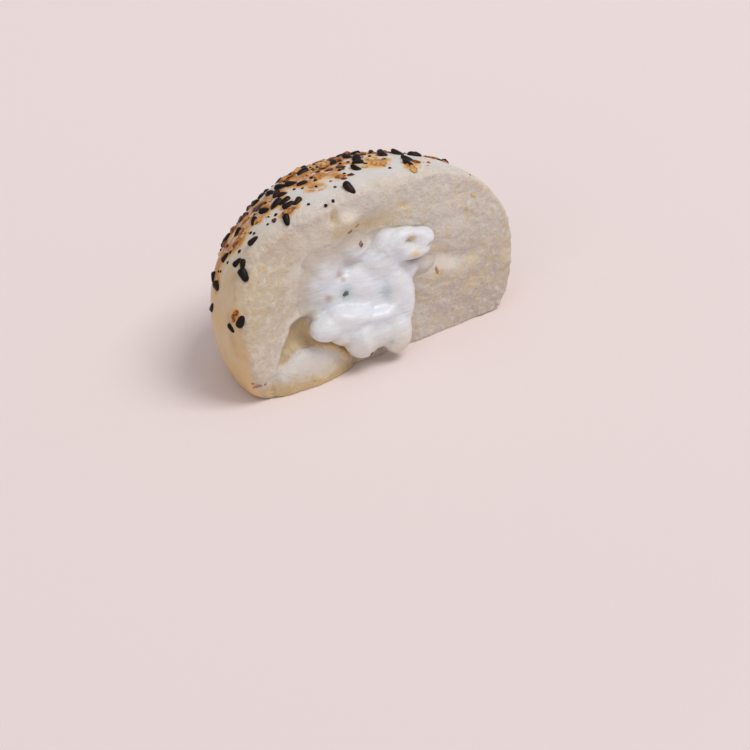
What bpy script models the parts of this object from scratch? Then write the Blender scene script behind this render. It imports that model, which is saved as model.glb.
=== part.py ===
"""Half of a steamed bun, torn open: white dough with black sesame, poppy seeds and onion flakes fused
to its crown, and the soft cheese filling that runs through it and out over the torn side.

Metres, +Z up. The half stands on its flat foot, and its torn side faces -Y. Shapes are worked out
round the axis of the whole bun and moved into the part's frame at the end.
"""

import math
import random

import bmesh
import bpy
from mathutils import Matrix, Vector, noise

MM = 0.001

# The whole bun, as it was before the tear
BUN_RADIUS = 38.5 * MM
BUN_HEIGHT = 45.4 * MM
BELLY_HEIGHT = 14.8 * MM  # height of the widest ring
FOOT_DEPTH = 33.6 * MM  # the underside's curve would end this far below the belly, but the foot cuts it
CROWN_RISE_POWER = 2.17
CROWN_ROUND_POWER = 2.45
UNEVENNESS = 0.012  # how far hand shaping pushes the skin in and out, as a share of the radius
UNEVENNESS_PITCH = 1.9  # bumps from one side of the bun to the other
SHOULDER_WAY = Vector((-0.45, 0.55, 0.70))  # where the crown is a little flatter, left of the tear
SHOULDER_DIP = 0.065
SHOULDER_WIDTH = 0.45
FOOT_ROUND = 2.2 * MM  # rounding of the edge that the bun stands on

# The skin curls over into the tear, deeply on the left and less and less towards the right
RIM_ROLL = 3.6 * MM
RIM_FADE = 0.75
RIM_FADE_FROM = 4 * MM
RIM_FADE_TO = 24 * MM
RIM_STEEPNESS = 0.8

# The frame's origin is under the middle of the torn half, behind the whole bun's axis
AXIS_Y = -14.3 * MM

# The torn side: it leans forward as it rises
TEAR_Y = -1.8 * MM
TEAR_LEAN = 0.09
TEAR_ROUGHNESS = 0.5 * MM
TEAR_ROUGH_PITCH = 0.13
TEAR_GRID = 1.75 * MM
TEAR_REACH = 46 * MM
TEAR_LOW = -6 * MM
TEAR_HIGH = 54 * MM

# What stands forward of the torn side or, below zero, lies back in it: millimetres forward, then
# the middle (x, height) and the half sizes of an oval, in millimetres from the bun's axis
TEAR_FORMS = (
    (1.8, 12, 22, 22, 18),  # the right half swells a little
    (2.6, -37, 8, 9, 14),  # foot of the left wall, curled forward
    (-4.2, -29, 36, 11, 9),  # left shoulder, torn further back
    (-3.8, -7, 21, 13, 11),  # the hollow that holds the filling
    (-2.2, -1.4, 33.6, 7.0, 3.6),  # the small cave above it
    (1.7, -8.2, 37.8, 2.6, 1.6),  # a flap of crumb left of the cave
)

# The bun's floor is pulled forward in a roll: middle (x, height) and half sizes in millimetres
ROLL = (-19.8, 1.6, 11.3, 8.4)
ROLL_FORWARD = 3.4
ROLL_EDGE = 0.45  # share of the roll's fullness from which it covers the slit

# The slit between the left wall and that roll, and where it runs on under the filling's lip: corners
# (x, height) in millimetres, going round anticlockwise
SLITS = (
    ((-24.6, 16.8), (-30.2, 7.2), (-20.0, 5.0), (-17.5, 7.0), (-18.5, 17.0)),
    ((-20.0, 12.5), (-20.0, 6.0), (-10.5, 2.0), (-8.5, 6.0)),
)
SLIT_SLOPE = 1.6  # millimetres from the slit's edge to its full depth
SLIT_DEPTHS = (2.2, 3.8)  # at its outer and its inner end
SLIT_ENDS = (-29.0, -20.0)
SLIT_RIM = (0.5, 0.7, 0.6)  # height of the pulled up edge, its distance from the slit, its half width

# A crease right of the filling, with a fold of crumb under it, in millimetres. It falls to the right
# and waves a little.
CREASE_X = 20.0
CREASE_HEIGHT = 20.2
CREASE_FALL = 0.2
CREASE_WAVE = 0.8
CREASE_DEPTH = 0.8
CREASE_HALF = (9, 1.7)  # half length and half width
FOLD_SHIFT = 1  # how far left of the crease the fold's middle is
FOLD_DROP = 4.2  # and how far below it
FOLD_DEPTH = 1.0
FOLD_HALF = (7, 3.0)

# Cheese filling: round masses in millimetres from the bun's axis, as middle and half sizes
CREAM_MASSES = (
    ((-2, 7, 16.5), (15, 13, 10.5)),  # the core inside the bun
    ((-2.4, -2.2, 17.0), (9.8, 4.8, 8.8)),  # the mass that slid out
    ((-8.4, -0.6, 19.2), (8.2, 4.4, 7.2)),  # its slope down to the left
    ((-9.8, -4.8, 14.2), (7.0, 4.2, 3.6)),  # the low fold
    ((-2.4, -5.2, 12.6), (7.0, 4.1, 3.5)),  # its right half, lower down
    ((-14.0, -4.0, 13.0), (5.0, 3.9, 3.3)),  # left lip
    ((-11.4, -4.8, 11.0), (4.2, 3.8, 3.4)),  # between the lip and the left drip
    ((-7.8, -6.0, 8.6), (4.6, 3.6, 5.2)),  # left drip
    ((-3.2, -5.9, 9.0), (4.8, 3.6, 4.4)),  # between the drips
    ((1.2, -6.4, 7.4), (4.0, 3.6, 5.8)),  # right drip
    ((3.0, -4.6, 15.6), (4.9, 4.4, 9.2)),  # right column
    ((6.6, -2.6, 21.4), (4.2, 3.0, 3.0)),  # where it spreads on the crumb
    ((1.2, -3.2, 24.0), (6.6, 4.2, 5.8)),  # the broad sheet under the ridge
    ((-4.0, 0.2, 25.4), (7.4, 3.4, 4.2)),  # where the sheet leaves the cave
    ((-2.4, -2.2, 22.6), (7.0, 3.8, 4.0)),  # where it runs into the mass below
    ((2.8, -4.4, 28.2), (4.4, 3.4, 4.4)),  # root of the ridge
    ((5.6, -6.0, 29.2), (5.0, 3.1, 3.2)),  # curled ridge
    ((9.8, -6.2, 28.0), (4.2, 3.1, 3.2)),  # its end lobe
    ((7.6, -6.4, 26.2), (5.0, 2.8, 2.3)),  # tongue under the ridge
)
# Films that follow the torn crumb: middle (x, height), half sizes and thickness in millimetres
CREAM_FILMS = (
    (-12.8, 22.4, 9.4, 10.2, 2.4),  # up the left wall
    (-4.6, 28.4, 7.8, 4.6, 1.4),  # towards the cave
)
FILM_BACK = 2.0 * MM  # how deep a film goes into the crumb
CREAM_VOXEL = 0.8 * MM
CREAM_SMOOTHING = 6
CREAM_DETAIL = 0.13  # share of the faces kept
TOUCH_GAP = 0.3 * MM

# Toppings: half sizes of a piece 1 mm long, and how each is laid
SESAME = (0.5, 0.29, 0.19)
SESAME_TAPER = 0.24
SESAME_SUNK = -0.03  # of its length: below zero, its middle is above the skin
FLAKE = (0.54, 0.37, 0.1)
FLAKE_SIDES = 6
FLAKE_OUTLINE = (0.75, 1.2)  # how far its corners stray from a round plate
FLAKE_CURL = 0.08
FLAKE_CURL_MIDDLE = 0.4
POPPY_RADIUS = 0.5 * MM
POPPY_SUNK = 0.1 * MM
SHOWN_ROOM = 0.45  # of its length, kept free round a piece laid by hand

# Toppings scattered behind the tear, for each kind: how many, how far from the axis they reach, and
# the room kept round each
TOPPING_SEED = 7
SCATTERED_FLAKES = (26, 32 * MM, 1.6 * MM)
SCATTERED_SESAME = (52, 36 * MM, 1.4 * MM)
SCATTERED_POPPY = (44, 37 * MM, 0.6 * MM)
SESAME_LENGTHS = (2.7, 3.7)
FLAKE_LENGTHS = (2.6, 4.6)
BARE_FRONT = 5 * MM  # scattered toppings lie further back than this from the axis
THINNING = 0.62  # how fast they thin out downhill
PATCH_SIZE = 9 * MM
PATCH_EDGE = (-0.5, 0.15)

# The toppings that show beside the tear, placed by hand: degrees round the axis from +X, millimetres
# from the axis, degrees of spin from straight downhill, length in millimetres
SHOWN_SESAME = (
    (213, 7, 65, 3.8), (77, 4, 25, 3.3), (39, 15, 40, 4.2), (51, 19, 10, 3.2), (30, 18, 75, 4.2),
    (10, 14.2, 110, 3.4), (357, 12.2, 100, 3.6), (71, 15, 25, 3.6), (64, 11, 170, 3.4), (92, 12, 135, 2.6),
    (115, 17, 70, 3.3), (139, 17, 170, 3.3), (146, 14, 10, 2.7), (137, 20, 170, 3.3), (153, 19, 165, 2.8),
    (162, 21, 25, 3.6), (165, 19, 15, 3.2), (173, 19, 175, 3.1), (176, 17, 25, 2.8), (184, 22, 50, 3.0),
    (160, 24, 135, 3.1), (161, 27, 55, 2.8), (154, 31, 30, 2.7), (175, 29, 165, 3.0), (174, 33, 155, 2.7),
    (178, 32.8, 30, 2.8), (181, 33.9, 60, 3.4), (155, 37.0, 50, 2.8), (165, 36.8, 85, 3.2),
    (162, 38.2, 145, 2.9), (185, 37.8, 160, 3.2), (181, 38.2, 60, 2.6),
)
SHOWN_FLAKES = (
    (107, 12, 115, 3.2), (149, 5, 5, 2.8), (131, 11, 130, 3.0), (124, 14, 55, 2.4), (84, 13, 145, 3.6),
    (113, 19, 100, 4.6), (120, 21, 20, 4.0), (179, 20, 150, 3.0), (156, 24.2, 10, 3.0), (26, 7, 85, 3.8),
    (42, 20, 55, 3.0), (0, 15, 105, 2.6), (339, 12.2, 70, 2.6), (57, 16, 5, 3.0), (69, 18, 170, 4.2),
    (183, 37.4, 125, 1.6), (150, 29, 15, 2.8), (158, 30, 130, 2.4), (145, 34.6, 165, 2.6),
    (141, 33, 135, 3.6), (164, 26.2, 10, 2.8),
)
SHOWN_POPPY = (
    (136, 12), (165, 11), (189, 8.2), (153, 16), (188, 16.2), (200, 14.2), (203, 12.2), (169, 23.8),
    (173, 22.4), (175, 25), (110, 6.4), (129, 4.2), (350, 7), (168, 28.4), (171, 28), (163, 35.6),
    (143, 29),
)


def new_object(name, bm, collection, material=None):
    mesh = bpy.data.meshes.new(name)
    bm.to_mesh(mesh)
    bm.free()
    mesh.shade_smooth()
    obj = bpy.data.objects.new(name, mesh)
    collection.objects.link(obj)
    if material:
        mesh.materials.append(material)
    return obj


def new_collection(name):
    collection = bpy.data.collections.new(name)
    bpy.context.scene.collection.children.link(collection)
    return collection


def finish(name, colour, roughness):
    material = bpy.data.materials.new(name)
    material.use_nodes = True
    shader = material.node_tree.nodes["Principled BSDF"]
    shader.inputs["Base Color"].default_value = (*colour, 1)
    shader.inputs["Roughness"].default_value = roughness
    shader.inputs["Metallic"].default_value = 0
    material.diffuse_color = (*colour, 1)
    return material


def as_cutter(obj):
    obj.hide_render = True
    obj.display_type = "WIRE"
    return obj


def keep_result(obj):
    """Makes the object's mesh what its modifiers give."""
    graph = bpy.context.evaluated_depsgraph_get()
    mesh = bpy.data.meshes.new_from_object(obj.evaluated_get(graph))
    obj.modifiers.clear()
    obj.data = mesh


def keep_largest_shell(mesh):
    """Fills the small hollows that joining pieces can seal, and drops loose scraps."""
    bm = bmesh.new()
    bm.from_mesh(mesh)
    unseen = set(bm.faces)
    shells = []
    while unseen:
        edge_of_search = [unseen.pop()]
        shell = set(edge_of_search)
        while edge_of_search:
            face = edge_of_search.pop()
            for edge in face.edges:
                for near in edge.link_faces:
                    if near in unseen:
                        unseen.remove(near)
                        shell.add(near)
                        edge_of_search.append(near)
        shells.append(shell)
    largest = max(shells, key=len)
    bmesh.ops.delete(bm, geom=[face for face in bm.faces if face not in largest], context="FACES")
    print("shells:", len(shells), "kept", len(largest), "faces")
    bm.to_mesh(mesh)
    bm.free()


def smooth_step(low, high, value):
    """0 below low, 1 above high, and a soft ramp between."""
    share = min(max((value - low) / (high - low), 0), 1)
    return share * share * (3 - 2 * share)


def hill(x, z, middle_x, middle_z, half_x, half_z):
    """1 at the middle of an oval on the torn side, falling softly to 0.37 at its edge."""
    return math.exp(-(((x - middle_x) / half_x) ** 2) - ((z - middle_z) / half_z) ** 2)


# Dough


def floor_roll(x, z):
    """1 at the middle of the rolled floor's edge and 0 outside it, with a round profile."""
    middle_x, middle_z, half_x, half_z = ROLL
    share = 1 - ((x - middle_x) / half_x) ** 2 - ((z - middle_z) / half_z) ** 2
    return math.sqrt(max(share, 0))


def slit_depth(x, z):
    """How deep the slit is at a place on the torn side, in millimetres. Beside it the edge is pulled up."""
    nearest = -SLIT_SLOPE
    for corners in SLITS:
        inside = SLIT_SLOPE
        for (ax, az), (bx, bz) in zip(corners, corners[1:] + corners[:1]):
            away = ((bx - ax) * (z - az) - (bz - az) * (x - ax)) / math.hypot(bx - ax, bz - az)
            inside = min(inside, away)
        nearest = max(nearest, inside)
    deepest = SLIT_DEPTHS[0] + (SLIT_DEPTHS[1] - SLIT_DEPTHS[0]) * smooth_step(*SLIT_ENDS, x)
    height, away, half_width = SLIT_RIM
    rim = height * math.exp(-(((nearest + away) / half_width) ** 2))
    uncovered = 1 - smooth_step(0, ROLL_EDGE, floor_roll(x, z))
    return (deepest * smooth_step(0, SLIT_SLOPE, nearest) - rim) * uncovered


def torn_y(x, z):
    """How far back the torn side is at a place on it."""
    mm_x, mm_z = x / MM, z / MM
    forward = sum(size * hill(mm_x, mm_z, *oval) for size, *oval in TEAR_FORMS)
    crease = CREASE_HEIGHT - CREASE_FALL * (mm_x - CREASE_X) + CREASE_WAVE * math.sin(mm_x / 2)
    forward -= CREASE_DEPTH * hill(mm_x, mm_z, CREASE_X, crease, *CREASE_HALF)
    forward += FOLD_DEPTH * hill(mm_x, mm_z, CREASE_X - FOLD_SHIFT, crease - FOLD_DROP, *FOLD_HALF)
    forward += ROLL_FORWARD * floor_roll(mm_x, mm_z) - slit_depth(mm_x, mm_z)
    rough = noise.fractal(Vector((mm_x, 0, mm_z)) * TEAR_ROUGH_PITCH, 1.0, 2.2, 3)
    return TEAR_Y - TEAR_LEAN * z - forward * MM + TEAR_ROUGHNESS * rough


def rim_inset(point):
    """How far the skin has curled inwards on its way over the rim of the tear."""
    roll = RIM_ROLL * (1 - RIM_FADE * smooth_step(RIM_FADE_FROM, RIM_FADE_TO, point.x))
    gone = min(max(1 - (point.y - torn_y(point.x, point.z)) / roll, 0), 1)
    return RIM_STEEPNESS * roll * (1 - math.sqrt(1 - gone * gone))


def on_dough(way):
    """The point of the bun's skin in a direction from the middle of its belly."""
    if way.z >= 0:
        height = BELLY_HEIGHT + (BUN_HEIGHT - BELLY_HEIGHT) * way.z
        radius = BUN_RADIUS * (1 - min(way.z, 1) ** CROWN_RISE_POWER) ** (1 / CROWN_ROUND_POWER)
    else:
        height = BELLY_HEIGHT + FOOT_DEPTH * way.z
        radius = BUN_RADIUS * math.sqrt(max(1 - way.z**2, 0))
    radius *= 1 + UNEVENNESS * noise.noise(way * UNEVENNESS_PITCH)
    radius *= 1 - SHOULDER_DIP * math.exp(-((way - SHOULDER_WAY).length / SHOULDER_WIDTH) ** 2)
    point = Vector((way.x, way.y, 0)).normalized() * radius
    point.z = height
    outward = Vector((point.x, 0, point.z - BELLY_HEIGHT)).normalized()
    return point - outward * rim_inset(point)


def make_dough(collection, cutters, material):
    bm = bmesh.new()
    bmesh.ops.create_icosphere(bm, subdivisions=4, radius=1)
    for vert in bm.verts:
        vert.co = on_dough(vert.co.normalized())
    whole = bm.verts[:] + bm.edges[:] + bm.faces[:]
    cut = bmesh.ops.bisect_plane(bm, geom=whole, plane_co=(0, 0, 0), plane_no=(0, 0, 1), clear_inner=True)
    foot = [item for item in cut["geom_cut"] if isinstance(item, bmesh.types.BMEdge)]
    bmesh.ops.edgeloop_fill(bm, edges=foot)
    bmesh.ops.bevel(bm, geom=foot, offset=FOOT_ROUND, segments=2, profile=0.5, affect="EDGES", material=-1)
    bmesh.ops.recalc_face_normals(bm, faces=bm.faces[:])
    dough = new_object("bun", bm, collection, material)
    tear = dough.modifiers.new("tear", "BOOLEAN")
    tear.object = make_tear(cutters)
    return dough


def make_tear(cutters):
    """All that was torn away: a block in front of the torn side."""
    bm = bmesh.new()
    bmesh.ops.create_grid(
        bm,
        x_segments=round(2 * TEAR_REACH / TEAR_GRID),
        y_segments=round((TEAR_HIGH - TEAR_LOW) / TEAR_GRID),
        size=1,
    )
    for vert in bm.verts:
        x = vert.co.x * TEAR_REACH
        z = TEAR_LOW + (TEAR_HIGH - TEAR_LOW) * (vert.co.y + 1) / 2
        vert.co = (x, torn_y(x, z), z)
    front = bmesh.ops.extrude_face_region(bm, geom=bm.faces[:])["geom"]
    for item in front:
        if isinstance(item, bmesh.types.BMVert):
            item.co.y = -BUN_RADIUS * 1.4
    bmesh.ops.recalc_face_normals(bm, faces=bm.faces[:])
    return as_cutter(new_object("torn away", bm, cutters))


# Filling


def add_film(bm, middle_x, middle_z, half_x, half_z, thickness):
    """A lens that follows the torn surface and stands out from it, most in its middle."""
    for vert in bmesh.ops.create_icosphere(bm, subdivisions=3, radius=1)["verts"]:
        x = (middle_x + half_x * vert.co.x) * MM
        z = (middle_z + half_z * vert.co.z) * MM
        depth = FILM_BACK * vert.co.y if vert.co.y > 0 else -thickness * MM * vert.co.y**2
        vert.co = (x, torn_y(x, z) + depth, z)


def cream_body(name, collection, material=None):
    bm = bmesh.new()
    for middle, half in CREAM_MASSES:
        place = Matrix.Translation(Vector(middle) * MM) @ Matrix.Diagonal((*(Vector(half) * MM), 1))
        bmesh.ops.create_icosphere(bm, subdivisions=3, radius=1, matrix=place)
    for film in CREAM_FILMS:
        add_film(bm, *film)
    cream = new_object(name, bm, collection, material)
    join = cream.modifiers.new("join", "REMESH")
    join.mode = "VOXEL"
    join.voxel_size = CREAM_VOXEL
    soften = cream.modifiers.new("soften", "SMOOTH")
    soften.factor = 0.5
    soften.iterations = CREAM_SMOOTHING
    reduce = cream.modifiers.new("reduce", "DECIMATE")
    reduce.ratio = CREAM_DETAIL
    return cream


def make_room_for_cream(dough, cutters):
    """Cuts the filling's shape out of the dough, a thin gap larger all round."""
    room = as_cutter(cream_body("room for cream", cutters))
    gap = room.modifiers.new("gap", "DISPLACE")
    gap.strength = TOUCH_GAP
    gap.mid_level = 0
    cut = dough.modifiers.new("room for cream", "BOOLEAN")
    cut.object = room


# Toppings


def crown_point(turn, reach):
    """A point of the skin at an angle round the axis and a distance from it."""
    rise = (1 - (reach / BUN_RADIUS) ** CROWN_ROUND_POWER) ** (1 / CROWN_RISE_POWER)
    flat = math.sqrt(1 - rise**2)
    return on_dough(Vector((flat * math.cos(turn), flat * math.sin(turn), rise)))


def laid_on_crown(turn, reach, spin, sink):
    """The matrix that lays a piece flat on the skin, turned by spin from downhill and sunk in a little."""
    step = 0.1 * MM
    here = crown_point(turn, reach)
    downhill = (crown_point(turn, reach + step) - here).normalized()
    around = crown_point(turn + step / reach, reach) - here
    normal = downhill.cross(around).normalized()
    frame = Matrix((downhill, normal.cross(downhill), normal)).transposed().to_4x4()
    return Matrix.Translation(here - normal * sink) @ frame @ Matrix.Rotation(spin, 4, "Z")


def sesame_seed(length):
    """A drop: round at one end and drawn out at the other."""
    bm = bmesh.new()
    lying = Matrix.Rotation(math.pi / 2, 4, "Y")
    bmesh.ops.create_uvsphere(bm, u_segments=6, v_segments=3, radius=1, matrix=lying)
    for vert in bm.verts:
        narrow = 1 - SESAME_TAPER * vert.co.x
        vert.co.x *= SESAME[0] * length
        vert.co.y *= SESAME[1] * length * narrow
        vert.co.z *= SESAME[2] * length * narrow
    return bm


def poppy_seed():
    bm = bmesh.new()
    bmesh.ops.create_icosphere(bm, subdivisions=1, radius=POPPY_RADIUS)
    return bm


def onion_flake(length, draw):
    """A thin plate with an uneven outline, curled along its length."""
    bm = bmesh.new()
    bmesh.ops.create_cone(bm, cap_ends=True, segments=FLAKE_SIDES, radius1=1, radius2=1, depth=2)
    outline = [draw.uniform(*FLAKE_OUTLINE) for _ in range(FLAKE_SIDES)]
    for vert in bm.verts:
        corner = round(math.atan2(vert.co.y, vert.co.x) / (2 * math.pi / FLAKE_SIDES)) % FLAKE_SIDES
        x, y = vert.co.x * outline[corner], vert.co.y * outline[corner]
        curl = FLAKE_CURL * (x * x - FLAKE_CURL_MIDDLE)
        vert.co = Vector((x * FLAKE[0], y * FLAKE[1], vert.co.z * FLAKE[2] + curl)) * length
    return bm


def scattered_spots(draw, scattered, taken):
    """Free places behind the tear, thick in the middle of the crown and thinning out downhill."""
    count, spread, room = scattered
    spots = []
    while len(spots) < count:
        reach = max(spread * draw.random() ** THINNING, 1 * MM)
        turn = draw.uniform(0, 2 * math.pi)
        here = crown_point(turn, reach)
        patchy = noise.noise(Vector((here.x, here.y, 0)) / PATCH_SIZE)
        if here.y < BARE_FRONT or patchy < draw.uniform(*PATCH_EDGE):
            continue
        if any((here - other).length < room + size for other, size in taken):
            continue
        taken.append((here, room))
        spots.append((turn, reach))
    return spots


def make_toppings(draw):
    """One closed piece for each seed and flake, sunk a little into the skin: those that show come first."""
    pieces = new_collection("toppings")
    taken = []

    def lay(kind, bm, turn, reach, spin, sink):
        bm.transform(laid_on_crown(turn, reach, spin, sink))
        new_object(kind, bm, pieces)

    for turn, reach, spin, length in SHOWN_SESAME:
        turn, reach, length = math.radians(turn), reach * MM, length * MM
        taken.append((crown_point(turn, reach), SHOWN_ROOM * length))
        lay("sesame", sesame_seed(length), turn, reach, math.radians(spin), SESAME_SUNK * length)
    for turn, reach, spin, length in SHOWN_FLAKES:
        turn, reach, length = math.radians(turn), reach * MM, length * MM
        taken.append((crown_point(turn, reach), SHOWN_ROOM * length))
        lay("flake", onion_flake(length, draw), turn, reach, math.radians(spin), 0)
    for turn, reach in SHOWN_POPPY:
        turn, reach = math.radians(turn), reach * MM
        taken.append((crown_point(turn, reach), POPPY_RADIUS))
        lay("poppy", poppy_seed(), turn, reach, 0, POPPY_SUNK)

    for turn, reach in scattered_spots(draw, SCATTERED_FLAKES, taken):
        length = draw.uniform(*FLAKE_LENGTHS) * MM
        lay("flake", onion_flake(length, draw), turn, reach, draw.uniform(0, math.pi), 0)
    for turn, reach in scattered_spots(draw, SCATTERED_SESAME, taken):
        length = draw.uniform(*SESAME_LENGTHS) * MM
        lay("sesame", sesame_seed(length), turn, reach, draw.uniform(0, 2 * math.pi), SESAME_SUNK * length)
    for turn, reach in scattered_spots(draw, SCATTERED_POPPY, taken):
        lay("poppy", poppy_seed(), turn, reach, 0, POPPY_SUNK)
    return pieces


def fuse_toppings(dough):
    pieces = make_toppings(random.Random(TOPPING_SEED))
    fuse = dough.modifiers.new("toppings", "BOOLEAN")
    fuse.operation = "UNION"
    fuse.operand_type = "COLLECTION"
    fuse.solver = "MANIFOLD"
    fuse.collection = pieces
    keep_result(dough)
    keep_largest_shell(dough.data)
    for piece in pieces.objects[:]:
        bpy.data.objects.remove(piece)
    bpy.data.collections.remove(pieces)


def main():
    for obj in bpy.data.objects[:]:
        bpy.data.objects.remove(obj)
    parts = new_collection("torn cheese bun")
    cutters = new_collection("cutters")
    dough_white = finish("steamed dough", (0.62, 0.49, 0.36), 0.6)
    cream_white = finish("cheese filling", (0.74, 0.72, 0.72), 0.3)

    dough = make_dough(parts, cutters, dough_white)
    make_room_for_cream(dough, cutters)
    keep_result(dough)
    fuse_toppings(dough)
    cream = cream_body("filling", parts, cream_white)
    keep_result(cream)

    into_frame = Matrix.Translation((0, AXIS_Y, 0))
    for obj in (dough, cream):
        obj.data.transform(into_frame)
        print(obj.name, len(obj.data.polygons), "faces")


main()
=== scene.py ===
# %% [markdown]
# # A torn bun with soft cheese inside
# The plain solid of this part has the right size and main forms: half of a steamed bun, and the filling
# that slid out of it. This lesson gives it the finish of the real food. The dough comes first, then the
# cheese, then the seeds and toasted onion on the crown, and last the floor, the lights and the camera.
# All shapes are worked out in metres round the axis of the whole bun, and each finished mesh is then
# moved to its place in the solid's frame.

# %% Load the solid
import math
import random

import bmesh
import bpy
from mathutils import Matrix, Vector, noise
from mathutils.bvhtree import BVHTree


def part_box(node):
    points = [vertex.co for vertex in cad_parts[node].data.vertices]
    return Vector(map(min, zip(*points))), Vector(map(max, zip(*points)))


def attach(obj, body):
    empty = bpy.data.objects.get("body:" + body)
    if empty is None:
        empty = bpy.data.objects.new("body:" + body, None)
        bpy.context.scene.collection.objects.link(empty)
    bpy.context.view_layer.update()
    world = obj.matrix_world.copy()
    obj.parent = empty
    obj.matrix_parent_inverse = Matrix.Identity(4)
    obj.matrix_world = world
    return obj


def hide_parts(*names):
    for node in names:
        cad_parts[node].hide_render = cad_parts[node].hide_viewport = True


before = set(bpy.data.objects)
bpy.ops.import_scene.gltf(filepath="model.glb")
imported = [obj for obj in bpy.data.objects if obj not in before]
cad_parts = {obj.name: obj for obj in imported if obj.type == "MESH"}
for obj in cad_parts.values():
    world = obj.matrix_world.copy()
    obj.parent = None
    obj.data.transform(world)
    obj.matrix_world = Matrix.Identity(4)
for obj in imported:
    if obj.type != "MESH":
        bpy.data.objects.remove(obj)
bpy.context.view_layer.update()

MM = 0.001
bun_low, bun_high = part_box("bun")

# %% [markdown]
# ## Small tools
# A few helpers are used by every step. Soft food has no straight edges, so most of them shape or soften
# with smooth ramps, bells and noise. A piece can only be joined to the frame once its mesh is final, so
# `place_piece` moves the mesh, and not the object, to its place behind the bun's axis. The object itself
# stays at the origin, which keeps the patterns of its material where they belong.

# %% Small tools
AXIS_Y = -14.3 * MM  # the whole bun's axis, in front of the middle of the torn half
FAINT = 0.01  # a share that is too small to see


def smooth_step(low, high, value):
    """0 below low, 1 above high, and a soft ramp between."""
    share = min(max((value - low) / (high - low), 0), 1)
    return share * share * (3 - 2 * share)


def bell(reach, half_width):
    """1 where reach is 0, falling softly to 0.37 at the half width."""
    return math.exp(-((reach / half_width) ** 2))


def hill(x, z, middle_x, middle_z, half_x, half_z):
    """1 at the middle of an oval on the torn side, falling softly to 0.37 at its edge."""
    return math.exp(-(((x - middle_x) / half_x) ** 2) - ((z - middle_z) / half_z) ** 2)


def ripples(place, octaves=3, finer=2.0):
    """Fractal noise above and below 0: bumps with finer ones on them, each finer by the same factor."""
    return noise.fractal(place, 1.0, finer, octaves)


def soften(bm):
    """Draws each point halfway to the middle of its neighbours."""
    axes = {"use_axis_x": True, "use_axis_y": True, "use_axis_z": True}
    bmesh.ops.smooth_vert(bm, verts=bm.verts[:], factor=0.5, **axes)


def move_points(bm, move_of):
    """Works out the moves of all points before the first one moves."""
    bm.normal_update()
    moves = [move_of(vert) for vert in bm.verts]
    for vert, move in zip(bm.verts, moves):
        vert.co += move


def new_object(name, bm):
    mesh = bpy.data.meshes.new(name)
    bm.to_mesh(mesh)
    bm.free()
    mesh.shade_smooth()
    obj = bpy.data.objects.new(name, mesh)
    bpy.context.scene.collection.objects.link(obj)
    return obj


def keep_result(obj):
    """Makes the object's mesh what its modifiers give."""
    graph = bpy.context.evaluated_depsgraph_get()
    mesh = bpy.data.meshes.new_from_object(obj.evaluated_get(graph))
    obj.modifiers.clear()
    obj.data = mesh
    obj.data.shade_smooth()


def add_mask(obj, name, values):
    """Stores one number for each vertex, which the material reads by name."""
    mask = obj.data.attributes.new(name, "FLOAT", "POINT")
    mask.data.foreach_set("value", values)


def place_piece(obj, node):
    """Moves a finished mesh into the solid's frame, attaches it to the root and hides the part it replaces.
    """
    obj.data.transform(Matrix.Translation((0, AXIS_Y, 0)))
    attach(obj, "root")
    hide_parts(node)
    print(obj.name, len(obj.data.polygons), "faces")


print("a bell at 0, 0.5, 1 and 2 half widths:", [round(bell(reach, 1), 2) for reach in (0, 0.5, 1, 2)])

# %% [markdown]
# ## The torn side
# When a bun is pulled apart, the crumb gives way along a rough surface. That surface can be described by
# how far back it lies at each place: a gentle lean, a few broad forms, a crease, and finer pulled crumb.
# A formula is easy to change, and the same one later tells which points of the dough are torn crumb.

# %% The torn side
TEAR_Y = -1.8 * MM
TEAR_LEAN = 0.09
TEAR_ROUGHNESS = 0.5 * MM
TEAR_ROUGH_PITCH = 0.13
TEAR_ROUGH_FINER = 2.2

# Millimetres forward (below zero, back), then the middle (x, height) and half sizes of an oval. All
# tables and named sizes without MM, here and below, are in millimetres too.
TEAR_FORMS = (
    (1.8, 12, 22, 22, 18),  # the right half swells a little
    (2.6, -37, 8, 9, 14),  # foot of the left wall, curled forward
    (-4.2, -29, 36, 11, 9),  # left shoulder, torn further back
    (-3.8, -7, 21, 13, 11),  # the hollow that holds the filling
    (-2.2, -1.4, 33.6, 7.0, 3.6),  # the small cave above it
    (1.7, -8.2, 37.8, 2.6, 1.6),  # a flap of crumb left of the cave
    (-1.8, -11.4, 39.4, 0.8, 2.0),  # the split beside it
    (-0.9, 7.1, 37.3, 1.1, 0.8),  # one large bubble
)

# The bun's floor, pulled forward in a roll
ROLL = (-19.8, 1.6, 11.3, 8.4)  # middle (x, height) and half sizes
ROLL_FORWARD = 3.4
ROLL_EDGE = 0.45

# The slit between the left wall and that roll deepens towards the filling and runs on under its lip
SLITS = (
    ((-24.6, 16.8), (-30.2, 7.2), (-20.0, 5.0), (-17.5, 7.0), (-18.5, 17.0)),
    ((-20.0, 12.5), (-20.0, 6.0), (-10.5, 2.0), (-8.5, 6.0)),
)
SLIT_SLOPE = 1.6  # how far from its edge a slit reaches its full depth
SLIT_DEPTHS = (2.2, 3.8)
SLIT_ENDS = (-29.0, -20.0)
SLIT_RIM = (0.5, 0.7, 0.6)  # height of the pulled up edge, its distance from the slit, its half width

# A crease in the crumb right of the filling, with a fold under it
CREASE_X = 20.0
CREASE_HEIGHT = 20.2
CREASE_FALL = 0.2
CREASE_WAVE = 0.8
CREASE_WAVE_LENGTH = 2
CREASE_DEPTH = 0.8
CREASE_HALF = (9, 1.7)
FOLD_SHIFT = 1
FOLD_DROP = 4.2
FOLD_DEPTH = 1.0
FOLD_HALF = (7, 3.0)


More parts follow.
